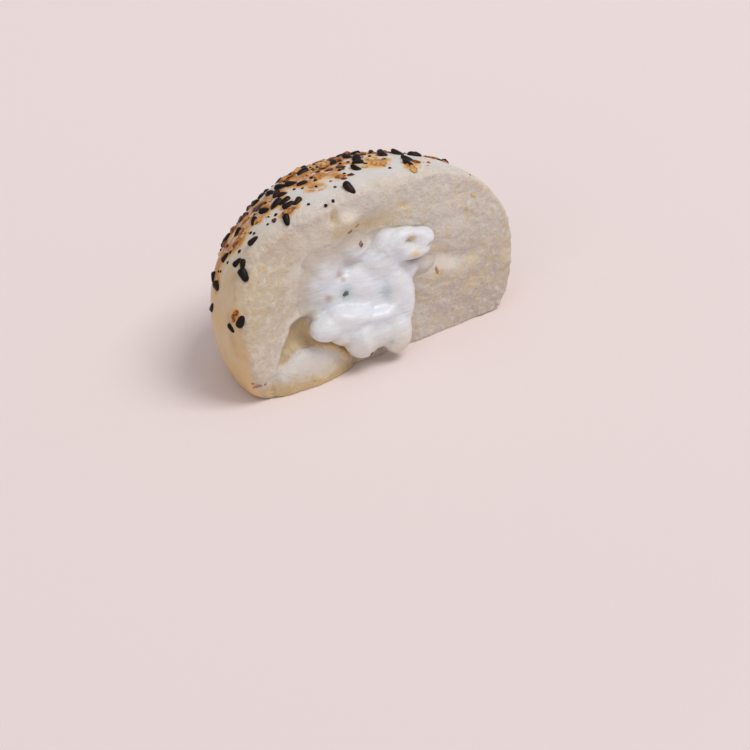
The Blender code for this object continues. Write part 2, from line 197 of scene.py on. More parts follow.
def floor_roll(x, z):
    """1 at the middle of the rolled floor's edge and 0 outside it, with a round profile."""
    middle_x, middle_z, half_x, half_z = ROLL
    share = 1 - ((x - middle_x) / half_x) ** 2 - ((z - middle_z) / half_z) ** 2
    return math.sqrt(max(share, 0))


def slit_depth(x, z):
    """How deep a slit is at a place, in millimetres. Beside it the edge is pulled up, so it is below 0."""
    nearest = -SLIT_SLOPE
    for corners in SLITS:
        inside = SLIT_SLOPE
        for (ax, az), (bx, bz) in zip(corners, corners[1:] + corners[:1]):
            away = ((bx - ax) * (z - az) - (bz - az) * (x - ax)) / math.hypot(bx - ax, bz - az)
            inside = min(inside, away)
        nearest = max(nearest, inside)
    deepest = SLIT_DEPTHS[0] + (SLIT_DEPTHS[1] - SLIT_DEPTHS[0]) * smooth_step(*SLIT_ENDS, x)
    height, away, half_width = SLIT_RIM
    rim = height * bell(nearest + away, half_width)
    uncovered = 1 - smooth_step(0, ROLL_EDGE, floor_roll(x, z))
    return (deepest * smooth_step(0, SLIT_SLOPE, nearest) - rim) * uncovered


def torn_y(x, z):
    """How far back the torn side is at a place on it."""
    mm_x, mm_z = x / MM, z / MM
    forward = sum(size * hill(mm_x, mm_z, *oval) for size, *oval in TEAR_FORMS)
    crease = CREASE_HEIGHT - CREASE_FALL * (mm_x - CREASE_X)
    crease += CREASE_WAVE * math.sin(mm_x / CREASE_WAVE_LENGTH)
    forward -= CREASE_DEPTH * hill(mm_x, mm_z, CREASE_X, crease, *CREASE_HALF)
    forward += FOLD_DEPTH * hill(mm_x, mm_z, CREASE_X - FOLD_SHIFT, crease - FOLD_DROP, *FOLD_HALF)
    forward += ROLL_FORWARD * floor_roll(mm_x, mm_z) - slit_depth(mm_x, mm_z)
    rough = ripples(Vector((mm_x, 0, mm_z)) * TEAR_ROUGH_PITCH, finer=TEAR_ROUGH_FINER)
    return TEAR_Y - TEAR_LEAN * z - forward * MM + TEAR_ROUGHNESS * rough


print("torn side at its foot and top, mm:", [round(torn_y(0, z * MM) / MM, 1) for z in (0, 44)])

# %% [markdown]
# ## The whole bun's skin
# Dough swells as it steams, so the bun is a low dome that is widest a third of the way up and a little
# uneven from shaping by hand. Each direction from the belly's middle has one point of skin. Near the
# tear the skin curls inwards, because it shrinks back when the bun is pulled open.

# %% The whole bun's skin
BUN_RADIUS = 38.5 * MM
BUN_HEIGHT = 45.4 * MM
BELLY_HEIGHT = 14.8 * MM
FOOT_DEPTH = 33.6 * MM
CROWN_RISE_POWER = 2.17
CROWN_ROUND_POWER = 2.45
UNEVENNESS = 0.012
UNEVENNESS_PITCH = 1.9
SHOULDER_WAY = Vector((-0.45, 0.55, 0.70))
SHOULDER_DIP = 0.065
SHOULDER_WIDTH = 0.45
FOOT_ROUND = 2.2 * MM

RIM_ROLL = 3.6 * MM
RIM_FADE = 0.75
RIM_FADE_FROM = 4 * MM
RIM_FADE_TO = 24 * MM
RIM_STEEPNESS = 0.8


def rim_inset(point):
    """How far the skin has curled inwards on its way over the rim of the tear."""
    roll = RIM_ROLL * (1 - RIM_FADE * smooth_step(RIM_FADE_FROM, RIM_FADE_TO, point.x))
    gone = min(max(1 - (point.y - torn_y(point.x, point.z)) / roll, 0), 1)
    return RIM_STEEPNESS * roll * (1 - math.sqrt(1 - gone * gone))


def on_dough(way):
    """The point of the bun's skin in a direction from the middle of its belly."""
    if way.z >= 0:
        height = BELLY_HEIGHT + (BUN_HEIGHT - BELLY_HEIGHT) * way.z
        radius = BUN_RADIUS * (1 - min(way.z, 1) ** CROWN_RISE_POWER) ** (1 / CROWN_ROUND_POWER)
    else:
        height = BELLY_HEIGHT + FOOT_DEPTH * way.z
        radius = BUN_RADIUS * math.sqrt(max(1 - way.z**2, 0))
    radius *= 1 + UNEVENNESS * noise.noise(way * UNEVENNESS_PITCH)
    radius *= 1 - SHOULDER_DIP * bell((way - SHOULDER_WAY).length, SHOULDER_WIDTH)
    point = Vector((way.x, way.y, 0)).normalized() * radius
    point.z = height
    outward = Vector((point.x, 0, point.z - BELLY_HEIGHT)).normalized()
    return point - outward * rim_inset(point)


print("top of the bun, mm:", round(on_dough(Vector((0, 0, 1))).z / MM, 1))

# %% [markdown]
# ## The filling's round masses
# Soft cheese slumps in rounded masses that run into each other. Overlapping spheres, squashed and placed
# as listed, give those masses, and a voxel remesh melts them into one skin. Smoothing then softens the
# joins, as the cheese's own weight does. Thin films of cheese that cling to the crumb are lenses laid on
# the torn surface. The masses alone, a little smaller, later hollow out the dough.

# %% The filling's round masses
# Millimetres from the bun's axis: the middle and the half sizes of each mass
CREAM_MASSES = (
    ((-2, 7, 16.5), (15, 13, 10.5)),  # the core inside the bun
    ((-2.4, -2.2, 17.0), (9.8, 4.8, 8.8)),  # the mass that slid out
    ((-8.4, -0.6, 19.2), (8.2, 4.4, 7.2)),  # its slope down to the left
    ((-9.8, -4.8, 14.2), (7.0, 4.2, 3.6)),  # the low fold
    ((-2.4, -5.2, 12.6), (7.0, 4.1, 3.5)),  # its right half, lower down
    ((-14.0, -4.0, 13.0), (5.0, 3.9, 3.3)),  # left lip
    ((-15.7, -4.4, 13.2), (4.6, 3.7, 3.1)),  # its corner
    ((-11.4, -4.8, 11.0), (4.2, 3.8, 3.4)),  # between the lip and the left drip
    ((-7.8, -6.0, 8.6), (4.6, 3.6, 5.2)),  # left drip
    ((-3.2, -5.9, 9.0), (4.8, 3.6, 4.4)),  # between the drips
    ((1.2, -6.4, 7.4), (4.0, 3.6, 5.8)),  # right drip
    ((3.0, -4.6, 15.6), (4.9, 4.4, 9.2)),  # right column
    ((6.4, -3.5, 20.8), (4.2, 3.0, 3.2)),  # where it spreads on the crumb
    ((1.2, -3.2, 24.0), (6.6, 4.2, 5.8)),  # the broad sheet under the ridge
    ((-4.0, 0.2, 25.4), (7.4, 3.4, 4.2)),  # where the sheet leaves the cave
    ((-2.4, -2.2, 22.6), (7.0, 3.8, 4.0)),  # where it runs into the mass below
    ((2.8, -4.4, 28.2), (4.4, 3.4, 4.4)),  # root of the ridge
    ((5.6, -6.0, 29.2), (5.0, 3.1, 3.2)),  # curled ridge
    ((9.8, -6.2, 28.0), (4.2, 3.1, 3.2)),  # its end lobe
    ((7.6, -6.4, 26.2), (5.0, 2.8, 2.3)),  # tongue under the ridge
)
# Thin films that follow the torn crumb: middle (x, height), half sizes and thickness in millimetres
CREAM_FILMS = (
    (-12.6, 22.4, 10.2, 12.0, 2.4),  # up the left wall
    (-4.6, 28.4, 9.4, 5.6, 1.6),  # towards the cave
    (10.0, 21.0, 6.6, 3.0, 1.0),  # over the crumb on the right
)
FILM_BACK = 3.6 * MM  # how deep a film's hidden back goes, so that the voxels don't lose its thin edge
FILM_SUNK = 0.16 * MM
FILM_RAGGED = 0.45 * MM
FILM_RAGGED_PITCH = 0.3
CREAM_VOXEL = 0.32 * MM
CREAM_SMOOTHING = 26


def add_film(bm, middle_x, middle_z, half_x, half_z, thickness):
    """A lens whose front stands out from the torn surface and thins out to nothing at its edge."""
    for vert in bmesh.ops.create_icosphere(bm, subdivisions=5, radius=1)["verts"]:
        x = (middle_x + half_x * vert.co.x) * MM
        z = (middle_z + half_z * vert.co.z) * MM
        depth = FILM_BACK * math.sqrt(vert.co.y) if vert.co.y > 0 else -thickness * MM * vert.co.y**4
        ragged = FILM_RAGGED * ripples(Vector((x, 0, z)) / MM * FILM_RAGGED_PITCH)
        vert.co = (x, torn_y(x, z) + FILM_SUNK + depth + ragged, z)


def cream_body(name, voxel, smoothing, films=()):
    bm = bmesh.new()
    for middle, half in CREAM_MASSES:
        place = Matrix.Translation(Vector(middle) * MM) @ Matrix.Diagonal((*(Vector(half) * MM), 1))
        bmesh.ops.create_icosphere(bm, subdivisions=4, radius=1, matrix=place)
    for film in films:
        add_film(bm, *film)
    cream = new_object(name, bm)
    join = cream.modifiers.new("join", "REMESH")
    join.mode = "VOXEL"
    join.voxel_size = voxel
    calm = cream.modifiers.new("soften", "SMOOTH")
    calm.factor = 0.5
    calm.iterations = smoothing
    return cream


print(len(CREAM_MASSES), "masses and", len(CREAM_FILMS), "films of cheese")

# %% [markdown]
# ## Cutting the dough
# The dough starts as a sphere pushed out to the bun's skin, with a flat foot whose edge is drawn in to a
# rounding, as the weight of soft dough makes it. A block whose back is the torn surface cuts away the
# other half, and the filling's shape cuts its own room. Voxels then turn the result into an even skin of
# small faces, fine enough to carry the crumb's relief.

# %% Cutting the dough
DOUGH_VOXEL = 0.36 * MM
DOUGH_DETAIL = 0.66  # share of the faces kept
TEAR_GRID = 0.7 * MM
TEAR_REACH = 46 * MM
TEAR_LOW = -6 * MM
TEAR_HIGH = 54 * MM
TEAR_FRONT = -1.4 * BUN_RADIUS
WETTED = 0.25 * MM  # the cheese soaks this far into the crumb, so no gap shows
ROOM_VOXEL = 0.6 * MM
ROOM_SMOOTHING = 8


def whole_bun():
    bm = bmesh.new()
    bmesh.ops.create_icosphere(bm, subdivisions=6, radius=1)
    for vert in bm.verts:
        vert.co = on_dough(vert.co.normalized())
    whole = bm.verts[:] + bm.edges[:] + bm.faces[:]
    cut = bmesh.ops.bisect_plane(bm, geom=whole, plane_co=(0, 0, 0), plane_no=(0, 0, 1), clear_inner=True)
    foot = [item for item in cut["geom_cut"] if isinstance(item, bmesh.types.BMEdge)]
    bmesh.ops.edgeloop_fill(bm, edges=foot)
    for vert in bm.verts:
        below = min(max(1 - vert.co.z / FOOT_ROUND, 0), 1)
        inset = FOOT_ROUND * (1 - math.sqrt(1 - below * below))
        flat = Vector((vert.co.x, vert.co.y, 0))
        vert.co -= flat.normalized() * inset
    bmesh.ops.recalc_face_normals(bm, faces=bm.faces[:])
    return new_object("bun_dough", bm)


def torn_away():
    """A block in front of the torn side."""
    bm = bmesh.new()
    across = round(2 * TEAR_REACH / TEAR_GRID)
    upwards = round((TEAR_HIGH - TEAR_LOW) / TEAR_GRID)
    bmesh.ops.create_grid(bm, x_segments=across, y_segments=upwards, size=1)
    for vert in bm.verts:
        x = vert.co.x * TEAR_REACH
        z = TEAR_LOW + (TEAR_HIGH - TEAR_LOW) * (vert.co.y + 1) / 2
        vert.co = (x, torn_y(x, z), z)
    for item in bmesh.ops.extrude_face_region(bm, geom=bm.faces[:])["geom"]:
        if isinstance(item, bmesh.types.BMVert):
            item.co.y = TEAR_FRONT
    bmesh.ops.recalc_face_normals(bm, faces=bm.faces[:])
    return new_object("torn away", bm)


def room_for_cream():
    room = cream_body("room for cream", ROOM_VOXEL, ROOM_SMOOTHING)
    inset = room.modifiers.new("inset", "DISPLACE")
    inset.strength = -WETTED
    inset.mid_level = 0
    whole = room.modifiers.new("whole", "REMESH")
    whole.mode = "VOXEL"
    whole.voxel_size = ROOM_VOXEL
    return room


dough = whole_bun()
cutters = [torn_away(), room_for_cream()]
for cutter in cutters:
    cut = dough.modifiers.new(cutter.name, "BOOLEAN")
    cut.object = cutter
even = dough.modifiers.new("even", "REMESH")
even.mode = "VOXEL"
even.voxel_size = DOUGH_VOXEL
keep_result(dough)
for cutter in cutters:
    bpy.data.objects.remove(cutter)
print("dough:", len(dough.data.vertices), "vertices")

# %% [markdown]
# ## Crumb and skin
# Torn crumb is a foam of burst bubbles with pulled threads between them, while the skin is nearly smooth.
# The distance behind the torn surface tells the two apart, and noise makes the border between them
# ragged, as a tear leaves it. The share of crumb at a point steers both its relief and its colour.

# %% Crumb and skin
CRUMB_BORDER = (0.6 * MM, 3.8 * MM)  # behind the torn surface, from all crumb to all skin
CRUMB_BORDER_LOW = (0.1 * MM, 1.4 * MM)  # the same low down, where the skin curls further in
LOW_TO_HIGH = (14 * MM, 36 * MM)
CRUMB_RAGGED = 1.1 * MM
CRUMB_RAGGED_LOW = 0.4  # share of that which is left low down
CRUMB_RAGGED_PITCH = 0.35


def share_of_crumb(point):
    behind = point.y - torn_y(point.x, point.z)
    high = smooth_step(*LOW_TO_HIGH, point.z)
    ragged = CRUMB_RAGGED * (CRUMB_RAGGED_LOW + (1 - CRUMB_RAGGED_LOW) * high)
    ragged *= noise.noise(point / MM * CRUMB_RAGGED_PITCH)
    start, end = (low + (top - low) * high for low, top in zip(CRUMB_BORDER_LOW, CRUMB_BORDER))
    return 1 - smooth_step(start, end, behind + ragged)


torn_place = Vector((0, torn_y(0, BELLY_HEIGHT), BELLY_HEIGHT))
print("share of crumb on the tear:", share_of_crumb(torn_place))

# %% [markdown]
# ## Where the crumb changes
# Torn crumb is not the same all over. Some of it is pulled white, and painted light whitens the upper left
# and the flap. Painted warm shade turns the cave, the hollows and the slit tan, a few tan spots are the
# crumb's own, and some is covered by a smear of cheese. Each of these is a table of soft ovals on the torn
# side, made ragged by noise, because a short table is easy to move about until it looks right.

# %% Where the crumb changes
# Each row: strength, then middle (x, height) and half sizes in millimetres
SMEARS = (
    (1.0, -15.0, 24.0, 11.0, 12.0),  # round the film on the left
    (0.7, -3.6, 30.0, 8.4, 3.6),  # under the cave
    (0.9, 13.5, 21.0, 6.0, 3.0),  # right of the column
    (0.6, 20.0, 18.4, 4.4, 1.4),  # on the fold
    (0.7, -20.0, 5.0, 9.0, 4.0),  # on the rolled floor
)
# Mostly painted warm shade, tan in the cave, the split and the bubbles; the spots on the right are tan crumb
HOLLOW_SHADE_AND_SPOTS = (
    (0.9, -1.4, 34.4, 7.6, 2.4),  # the cave
    (1.0, -11.3, 39.4, 0.9, 2.2),  # the split beside the flap
    (0.6, -9.6, 35.4, 3.0, 0.9),  # under the flap
    (0.9, 7.1, 37.3, 1.3, 0.9),  # the large bubble
    (0.8, -8.2, 34.6, 3.4, 2.6),  # between the flap and the cave
    (0.38, -34.5, 24.0, 3.0, 14.0),  # along the left border
    (0.8, -30.8, 39.9, 1.3, 0.8),  # bubbles near the skin, upper left
    (0.7, -28.0, 38.6, 1.4, 0.9),
    (0.7, -24.5, 41.0, 1.7, 0.7),
    (0.6, -26.5, 36.0, 1.2, 1.5),
    (0.6, -31.5, 36.5, 0.9, 1.7),
    (0.5, -22.5, 37.5, 1.6, 1.0),
    (0.55, 26.5, 17.0, 2.4, 1.6),  # spots on the right
    (0.5, 26.0, 10.8, 2.4, 1.6),
    (0.5, 35.6, 15.5, 1.6, 4.0),
    (0.6, 14.0, 16.6, 2.8, 0.9),
    (0.4, 15.0, 24.0, 3.4, 0.9),
)
PULLED_WHITE_AND_PAINTED_LIGHT = (
    (0.9, 17.5, 19.4, 6.0, 2.4),  # the fold on the right
    (0.9, 18.5, 13.7, 4.5, 0.8),  # a thread under it
    (0.7, 4.0, 37.0, 8.0, 3.4),  # over the cave
    # Painted light: the next two rows whiten the upper left, which lies in shade, and the lit flap
    (0.75, -17.0, 35.5, 9.0, 7.0),  # the upper left
    (0.9, -9.6, 38.8, 4.0, 2.0),  # the flap
)
FINE_RAGGED = 0.5  # pitches of the noise that makes edges ragged
COARSE_RAGGED = 0.6
SMEAR_RAGGED = 0.25
SMEAR_EDGE = (0.25, 0.85)
SMEAR_BACK = 9 * MM
HOLLOW_RAGGED = 0.6
PULLED_RAGGED = 0.3
PULLED_EDGE = (0.3, 0.9)
# The slit's tan is painted warm shade
SLIT_SHADE_TAN = (0.5, 1.6)  # how deep a slit is where it starts to look tan, and where it is all tan
SLIT_RIM_WHITE = (-0.1, -0.4)  # the same for its pulled up rim, which looks white
SLIT_RIM_SHARE = 0.45
ROLL_WHITE = 0.3  # share of the roll's fullness from which it is all white
ROLL_FOOT = (4.6, 1.4)  # heights between which the roll turns from white to the foot's tan
FOOT_HEIGHTS = (1.6, 6.4)
FOOT_LEFT = (2, -14)
FOOT_RAGGED = 1.2


def on_torn_side(point):
    """A point's place on the torn side, in millimetres."""
    return point.x / MM, point.z / MM


def share_of_ovals(point, ovals):
    return sum(strength * hill(*on_torn_side(point), *oval) for strength, *oval in ovals)


def share_of_smear(point):
    film = share_of_ovals(point, SMEARS) + SMEAR_RAGGED * ripples(point / MM * FINE_RAGGED)
    return smooth_step(*SMEAR_EDGE, film) if point.y < SMEAR_BACK else 0


def share_of_hollow_shade_and_spots(point):
    tan = share_of_ovals(point, HOLLOW_SHADE_AND_SPOTS) * (1 + HOLLOW_RAGGED * ripples(point / MM * FINE_RAGGED))
    return min(tan + smooth_step(*SLIT_SHADE_TAN, slit_depth(*on_torn_side(point))), 1)


def share_of_white(point):
    mm_x, mm_z = on_torn_side(point)
    ragged = FOOT_RAGGED * noise.noise(point / MM * COARSE_RAGGED)
    roll = smooth_step(0, ROLL_WHITE, floor_roll(mm_x, mm_z)) * (1 - smooth_step(*ROLL_FOOT, mm_z + ragged))
    return max(roll, SLIT_RIM_SHARE * smooth_step(*SLIT_RIM_WHITE, slit_depth(mm_x, mm_z)))


def share_pulled_and_lit(point):
    pulled = share_of_ovals(point, PULLED_WHITE_AND_PAINTED_LIGHT) + PULLED_RAGGED * ripples(point / MM * COARSE_RAGGED)
    return smooth_step(*PULLED_EDGE, pulled)


def share_of_foot(point):
    mm_x, mm_z = on_torn_side(point)
    ragged = FOOT_RAGGED * noise.noise(point / MM * COARSE_RAGGED)
    return (1 - smooth_step(*FOOT_HEIGHTS, mm_z + ragged)) * smooth_step(*FOOT_LEFT, mm_x)


print(len(SMEARS), "smears,", len(HOLLOW_SHADE_AND_SPOTS), "tan hollows,", len(PULLED_WHITE_AND_PAINTED_LIGHT), "places pulled white")

# %% [markdown]
# ## The crumb's relief
# Pulled dough has lumps, thin ridges between them, and pits where bubbles burst. Three kinds of noise
# give these, and they move each point along its normal before the mesh is made lighter. The shares from
# above are then stored on the points that are left, where the material can read them.

# %% The crumb's relief
LUMPS = 0.24 * MM
LUMPS_PITCH = 0.3  # this and the other pitches here: bumps in a millimetre
RIDGES = 0.11 * MM
RIDGES_PITCH = (0.6, 1.0, 1.3)
RIDGES_BENT = 1.6
RIDGES_BENT_PITCH = 0.22
PITS = 0.5 * MM
PITS_PITCH = 0.5
PITS_SHALLOW = 0.45  # of the bubbles, the share too shallow to see
PITS_LEAST = 0.01
PITS_SHUFFLE = 7  # gives neighbouring bubbles sizes that have nothing to do with each other
DIMPLES = 0.04 * MM
DIMPLES_PITCH = 0.35
SMEAR_FILLS = 0.8  # how much of the relief a smear of cheese fills
FLOOR_CLEAR = 0.6 * MM


def crumb_relief(point):
    """How far torn crumb stands out: pulled lumps, ridges, and pits where bubbles burst."""
    at = point / MM
    lumps = ripples(at * LUMPS_PITCH)
    pulled = at + RIDGES_BENT * noise.noise_vector(at * RIDGES_BENT_PITCH)
    stretched = Vector([value * pitch for value, pitch in zip(pulled, RIDGES_PITCH)])
    ridges = 0.5 - 2 * abs(noise.noise(stretched))
    reach, centres = noise.voronoi(pulled * PITS_PITCH)
    size = max(abs(noise.cell(centres[0] * PITS_SHUFFLE)) - PITS_SHALLOW, PITS_LEAST)
    pit = max(1 - (reach[0] / size) ** 2, 0)
    return LUMPS * lumps + RIDGES * ridges - PITS * pit * size


def dough_move(vert):
    point = vert.co
    rough = share_of_crumb(point)
    relief = 0
    if rough > FAINT:
        rough *= 1 - SMEAR_FILLS * share_of_smear(point)
        relief = rough * crumb_relief(point) if rough > FAINT else 0
    relief += DIMPLES * ripples(point / MM * DIMPLES_PITCH, octaves=2)
    return vert.normal * relief * smooth_step(0, FLOOR_CLEAR, point.z)


bm = bmesh.new()
bm.from_mesh(dough.data)
soften(bm)
move_points(bm, dough_move)
bm.to_mesh(dough.data)
bm.free()
lighter = dough.modifiers.new("lighter", "DECIMATE")
lighter.ratio = DOUGH_DETAIL
keep_result(dough)

crumb = [share_of_crumb(vert.co) for vert in dough.data.vertices]
add_mask(dough, "crumb", crumb)
for name, share_at in (
    ("smear", share_of_smear),
    ("hollow_shade_and_spots", share_of_hollow_shade_and_spots),
    ("white", share_of_white),
    ("pulled", share_pulled_and_lit),
    ("foot", share_of_foot),
):
    add_mask(dough, name, [share * share_at(vert.co) for vert, share in zip(dough.data.vertices, crumb)])
print("dough:", len(dough.data.polygons), "faces after roughening")

# %% [markdown]
# ## The cheese's folds
# As the cheese slid it wrinkled: a long low fold with wet light on it, a shallow valley under the upper
# sheet, and ridges on the lobes. Each fold is a line on the front of the mass, given by a few points,
# that pushes the skin out or in along its normals by a soft bell-shaped profile.

# %% The cheese's folds
# Millimetres out (below zero, in), half width, and the points (x, height) that the fold runs through
FOLDS = (
    (0.5, 0.9, ((-17.2, 15.8), (-13.5, 16.4), (-10.0, 15.6))),  # crest of the low fold, in two waves
    (0.55, 0.9, ((-8.8, 14.4), (-5.2, 13.8), (-1.8, 13.8), (1.0, 14.8))),
    (-0.45, 1.7, ((-12.5, 19.6), (-9.0, 18.6), (-4.0, 17.8), (1.0, 18.2))),  # the flat hollow above it
    (-0.3, 1.5, ((-11.0, 26.4), (-7.0, 25.0), (-3.4, 23.6), (0.5, 22.8), (2.8, 23.6))),
    (0.35, 0.5, ((-6.8, 28.0), (-4.4, 28.8), (-2.2, 30.0))),  # wet streaks on the sheet
    (0.35, 0.45, ((-4.6, 26.9), (-2.0, 28.0), (0.0, 29.8))),
    (0.35, 0.45, ((-2.2, 26.4), (0.2, 27.4), (1.8, 29.6))),
    (0.4, 0.9, ((3.2, 31.2), (6.4, 31.2), (9.8, 30.2), (12.4, 28.6))),  # the ridge, its hollow and notch
    (-1.7, 1.3, ((4.6, 29.5), (6.2, 29.4), (7.8, 29.0))),
    (-1.4, 0.5, ((11.0, 26.9), (13.8, 26.4))),
    (0.5, 0.8, ((4.2, 26.6), (7.6, 26.2), (11.2, 25.6))),  # the tongue, and the shade under it
    (-0.3, 0.8, ((3.4, 24.0), (6.4, 23.6), (9.6, 23.2))),
    (0.3, 1.2, ((5.6, 20.0), (5.4, 15.5), (4.8, 11.0), (3.2, 6.5))),  # the column's edge
    (-0.15, 1.2, ((2.2, 18.4), (1.4, 14.5), (-0.8, 10.4), (-2.6, 7.0))),
    (-0.4, 1.0, ((-12.6, 11.6), (-11.8, 8.8))),  # between the lip and the drips
    (0.4, 1.2, ((-9.2, 12.2), (-8.6, 8.6), (-8.0, 5.6))),
)
FOLD_ENDS = 0.35  # share of its height that a fold has at its ends
FOLD_FULLNESS = 0.7
FOLD_REACH = 3  # half widths
FRONT_ONLY = 2 * MM
FACES_FRONT = (0.1, -0.3)  # y of the normal, from no fold to the whole fold
LUMPY = 0.12
LUMPY_PITCH = 0.45
LIES_FLAT = (0.6, 0.85)  # how far a film's normal points forward
FILM_TO_THICK = (0.1 * MM, 2.2 * MM)  # how far thin and thick cheese stand out from the crumb
FILM_FADES = (0.15 * MM, 0.75 * MM)  # how far it stands out where it soaks away, and where it is whole


def reach_to_line(x, z, points):
    """The distance from a place to a line of points, and how far along the line it is, from 0 to 1."""
    nearest, along = math.inf, 0
    for index, ((ax, az), (bx, bz)) in enumerate(zip(points, points[1:])):
        dx, dz = bx - ax, bz - az
        share = min(max(((x - ax) * dx + (z - az) * dz) / (dx * dx + dz * dz), 0), 1)
        reach = math.hypot(x - ax - share * dx, z - az - share * dz)
        if reach < nearest:
            nearest, along = reach, (index + share) / (len(points) - 1)
    return nearest, along


def fold_height(x, z):
    height = 0
    for size, half_width, points in FOLDS:
        reach, along = reach_to_line(x, z, points)
        if reach < FOLD_REACH * half_width:
            tapered = FOLD_ENDS + (1 - FOLD_ENDS) * math.sin(math.pi * along) ** FOLD_FULLNESS
            height += size * tapered * bell(reach, half_width)
    return height


def cheese_move(vert):
    faces_front = smooth_step(*FACES_FRONT, vert.normal.y) if vert.co.y < FRONT_ONLY else 0
    fold = fold_height(*on_torn_side(vert.co)) * faces_front
    return vert.normal * (fold + LUMPY * ripples(vert.co / MM * LUMPY_PITCH)) * MM


cream = cream_body("cheese_filling", CREAM_VOXEL, CREAM_SMOOTHING, CREAM_FILMS)
keep_result(cream)
bm = bmesh.new()
bm.from_mesh(cream.data)
move_points(bm, cheese_move)
soften(bm)
bm.to_mesh(cream.data)
bm.free()
thin, soaked = [], []
for vert in cream.data.vertices:
    proud = torn_y(vert.co.x, vert.co.z) - vert.co.y
    lies_flat = smooth_step(*LIES_FLAT, -vert.normal.y)
    thin.append(1 - smooth_step(*FILM_TO_THICK, proud))
    soaked.append(lies_flat * (1 - smooth_step(*FILM_FADES, proud)))
add_mask(cream, "thin", thin)
add_mask(cream, "soaked", soaked)
print("cheese:", len(cream.data.vertices), "vertices")

# %% [markdown]
# ## Laying toppings on the crown
# Seeds and flakes were pressed on before steaming, so each lies flat on the skin and is half sunk in it.
# A matrix does that: one axis points downhill, one along the skin and one straight out of it. Those that
# show beside the tear are placed one by one, and the rest are scattered behind by a rule.

# %% Laying toppings on the crown
TOPPING_SEED = 7
BARE_FRONT = 5 * MM  # behind the axis; the scattered ones lie further back
THINNING = 0.62  # 0.5 would spread them evenly, and 1 much closer to the axis
PATCH_SIZE = 9 * MM
PATCH_EDGE = (-0.5, 0.15)  # the noise below which a place stays bare is drawn from this range
SHOWN_ROOM = 0.45  # room kept round each that shows in front, in its lengths
POPPY_RADIUS = 0.5 * MM
SHOWN_LEAN = 0.4  # how far seeds on top, beside the tear, lean towards it, as a slope
NEAREST = 1 * MM  # to the axis, where a turn round it has no meaning


def crown_point(turn, reach):
    """A point of the skin at an angle round the axis and a distance from it."""
    rise = (1 - (reach / BUN_RADIUS) ** CROWN_ROUND_POWER) ** (1 / CROWN_RISE_POWER)
    flat = math.sqrt(1 - rise**2)
    return on_dough(Vector((flat * math.cos(turn), flat * math.sin(turn), rise)))


def laid_on_crown(turn, reach, spin, sink, lean=0):
    """The matrix that lays a piece on the skin, turned by spin from downhill and sunk in a little."""
    step = 0.1 * MM
    here = crown_point(turn, reach)
    downhill = (crown_point(turn, reach + step) - here).normalized()
    around = crown_point(turn + step / reach, reach) - here
    normal = downhill.cross(around).normalized()
    normal = (normal - Vector((0, lean * normal.z, 0))).normalized()
    level = normal.cross(downhill).normalized()
    lying = Matrix((level.cross(normal), level, normal)).transposed().to_4x4()
    return Matrix.Translation(here - normal * sink) @ lying @ Matrix.Rotation(spin, 4, "Z")


def scattered_spots(draw, scattered, taken):
    """Free places behind the tear, thick in the middle of the crown and thinning out downhill."""
    count, spread, room = scattered
    spots = []
    while len(spots) < count:
        reach = max(spread * draw.random() ** THINNING, NEAREST)
        turn = draw.uniform(0, 2 * math.pi)
        here = crown_point(turn, reach)
        patchy = noise.noise(Vector((here.x, here.y, 0)) / PATCH_SIZE)
        if here.y < BARE_FRONT or patchy < draw.uniform(*PATCH_EDGE):
            continue
        if any((here - other).length < room + size for other, size in taken):
            continue
        taken.append((here, room))
        spots.append((turn, reach))
    return spots


print("a seed at the very top, mm:", [round(value / MM, 1) for value in crown_point(0, NEAREST)])

# %% [markdown]
# ## Where the toppings are
# Each row is a seed or flake that shows in front: degrees round the axis, millimetres from it, the turn
# from straight downhill, and the length. A poppy seed is round, so it only needs a place. The draws for
# the scattered ones come in a fixed order from one seeded source, so every run gives the same bun.

# %% Where the toppings are
SHOWN_SESAME = (
    (213, 7, 65, 3.8), (77, 4, 25, 3.3), (39, 15, 40, 4.2), (51, 19, 10, 3.2), (30, 18, 75, 4.2),
    (10, 14.2, 110, 3.4), (357, 12.2, 100, 3.6), (71, 15, 25, 3.6), (64, 11, 170, 3.4), (92, 12, 135, 2.6),
    (115, 17, 70, 3.3), (139, 17, 170, 3.3), (146, 14, 10, 2.7), (137, 20, 170, 3.3), (153, 19, 165, 2.8),
    (162, 21, 25, 3.6), (165, 19, 15, 3.2), (173, 19, 175, 3.1), (176, 17, 25, 2.8), (184, 22, 50, 3.0),
    (160, 24, 135, 3.1), (161, 27, 55, 2.8), (154, 31, 30, 2.7), (175, 29, 165, 3.0), (174, 33, 155, 2.7),
    (178, 32.8, 30, 2.8), (181, 33.9, 60, 3.4), (155, 37.0, 50, 2.8), (165, 36.8, 85, 3.2),
    (162, 38.2, 145, 2.9), (185, 37.8, 160, 3.2), (181, 38.2, 60, 2.6),
)
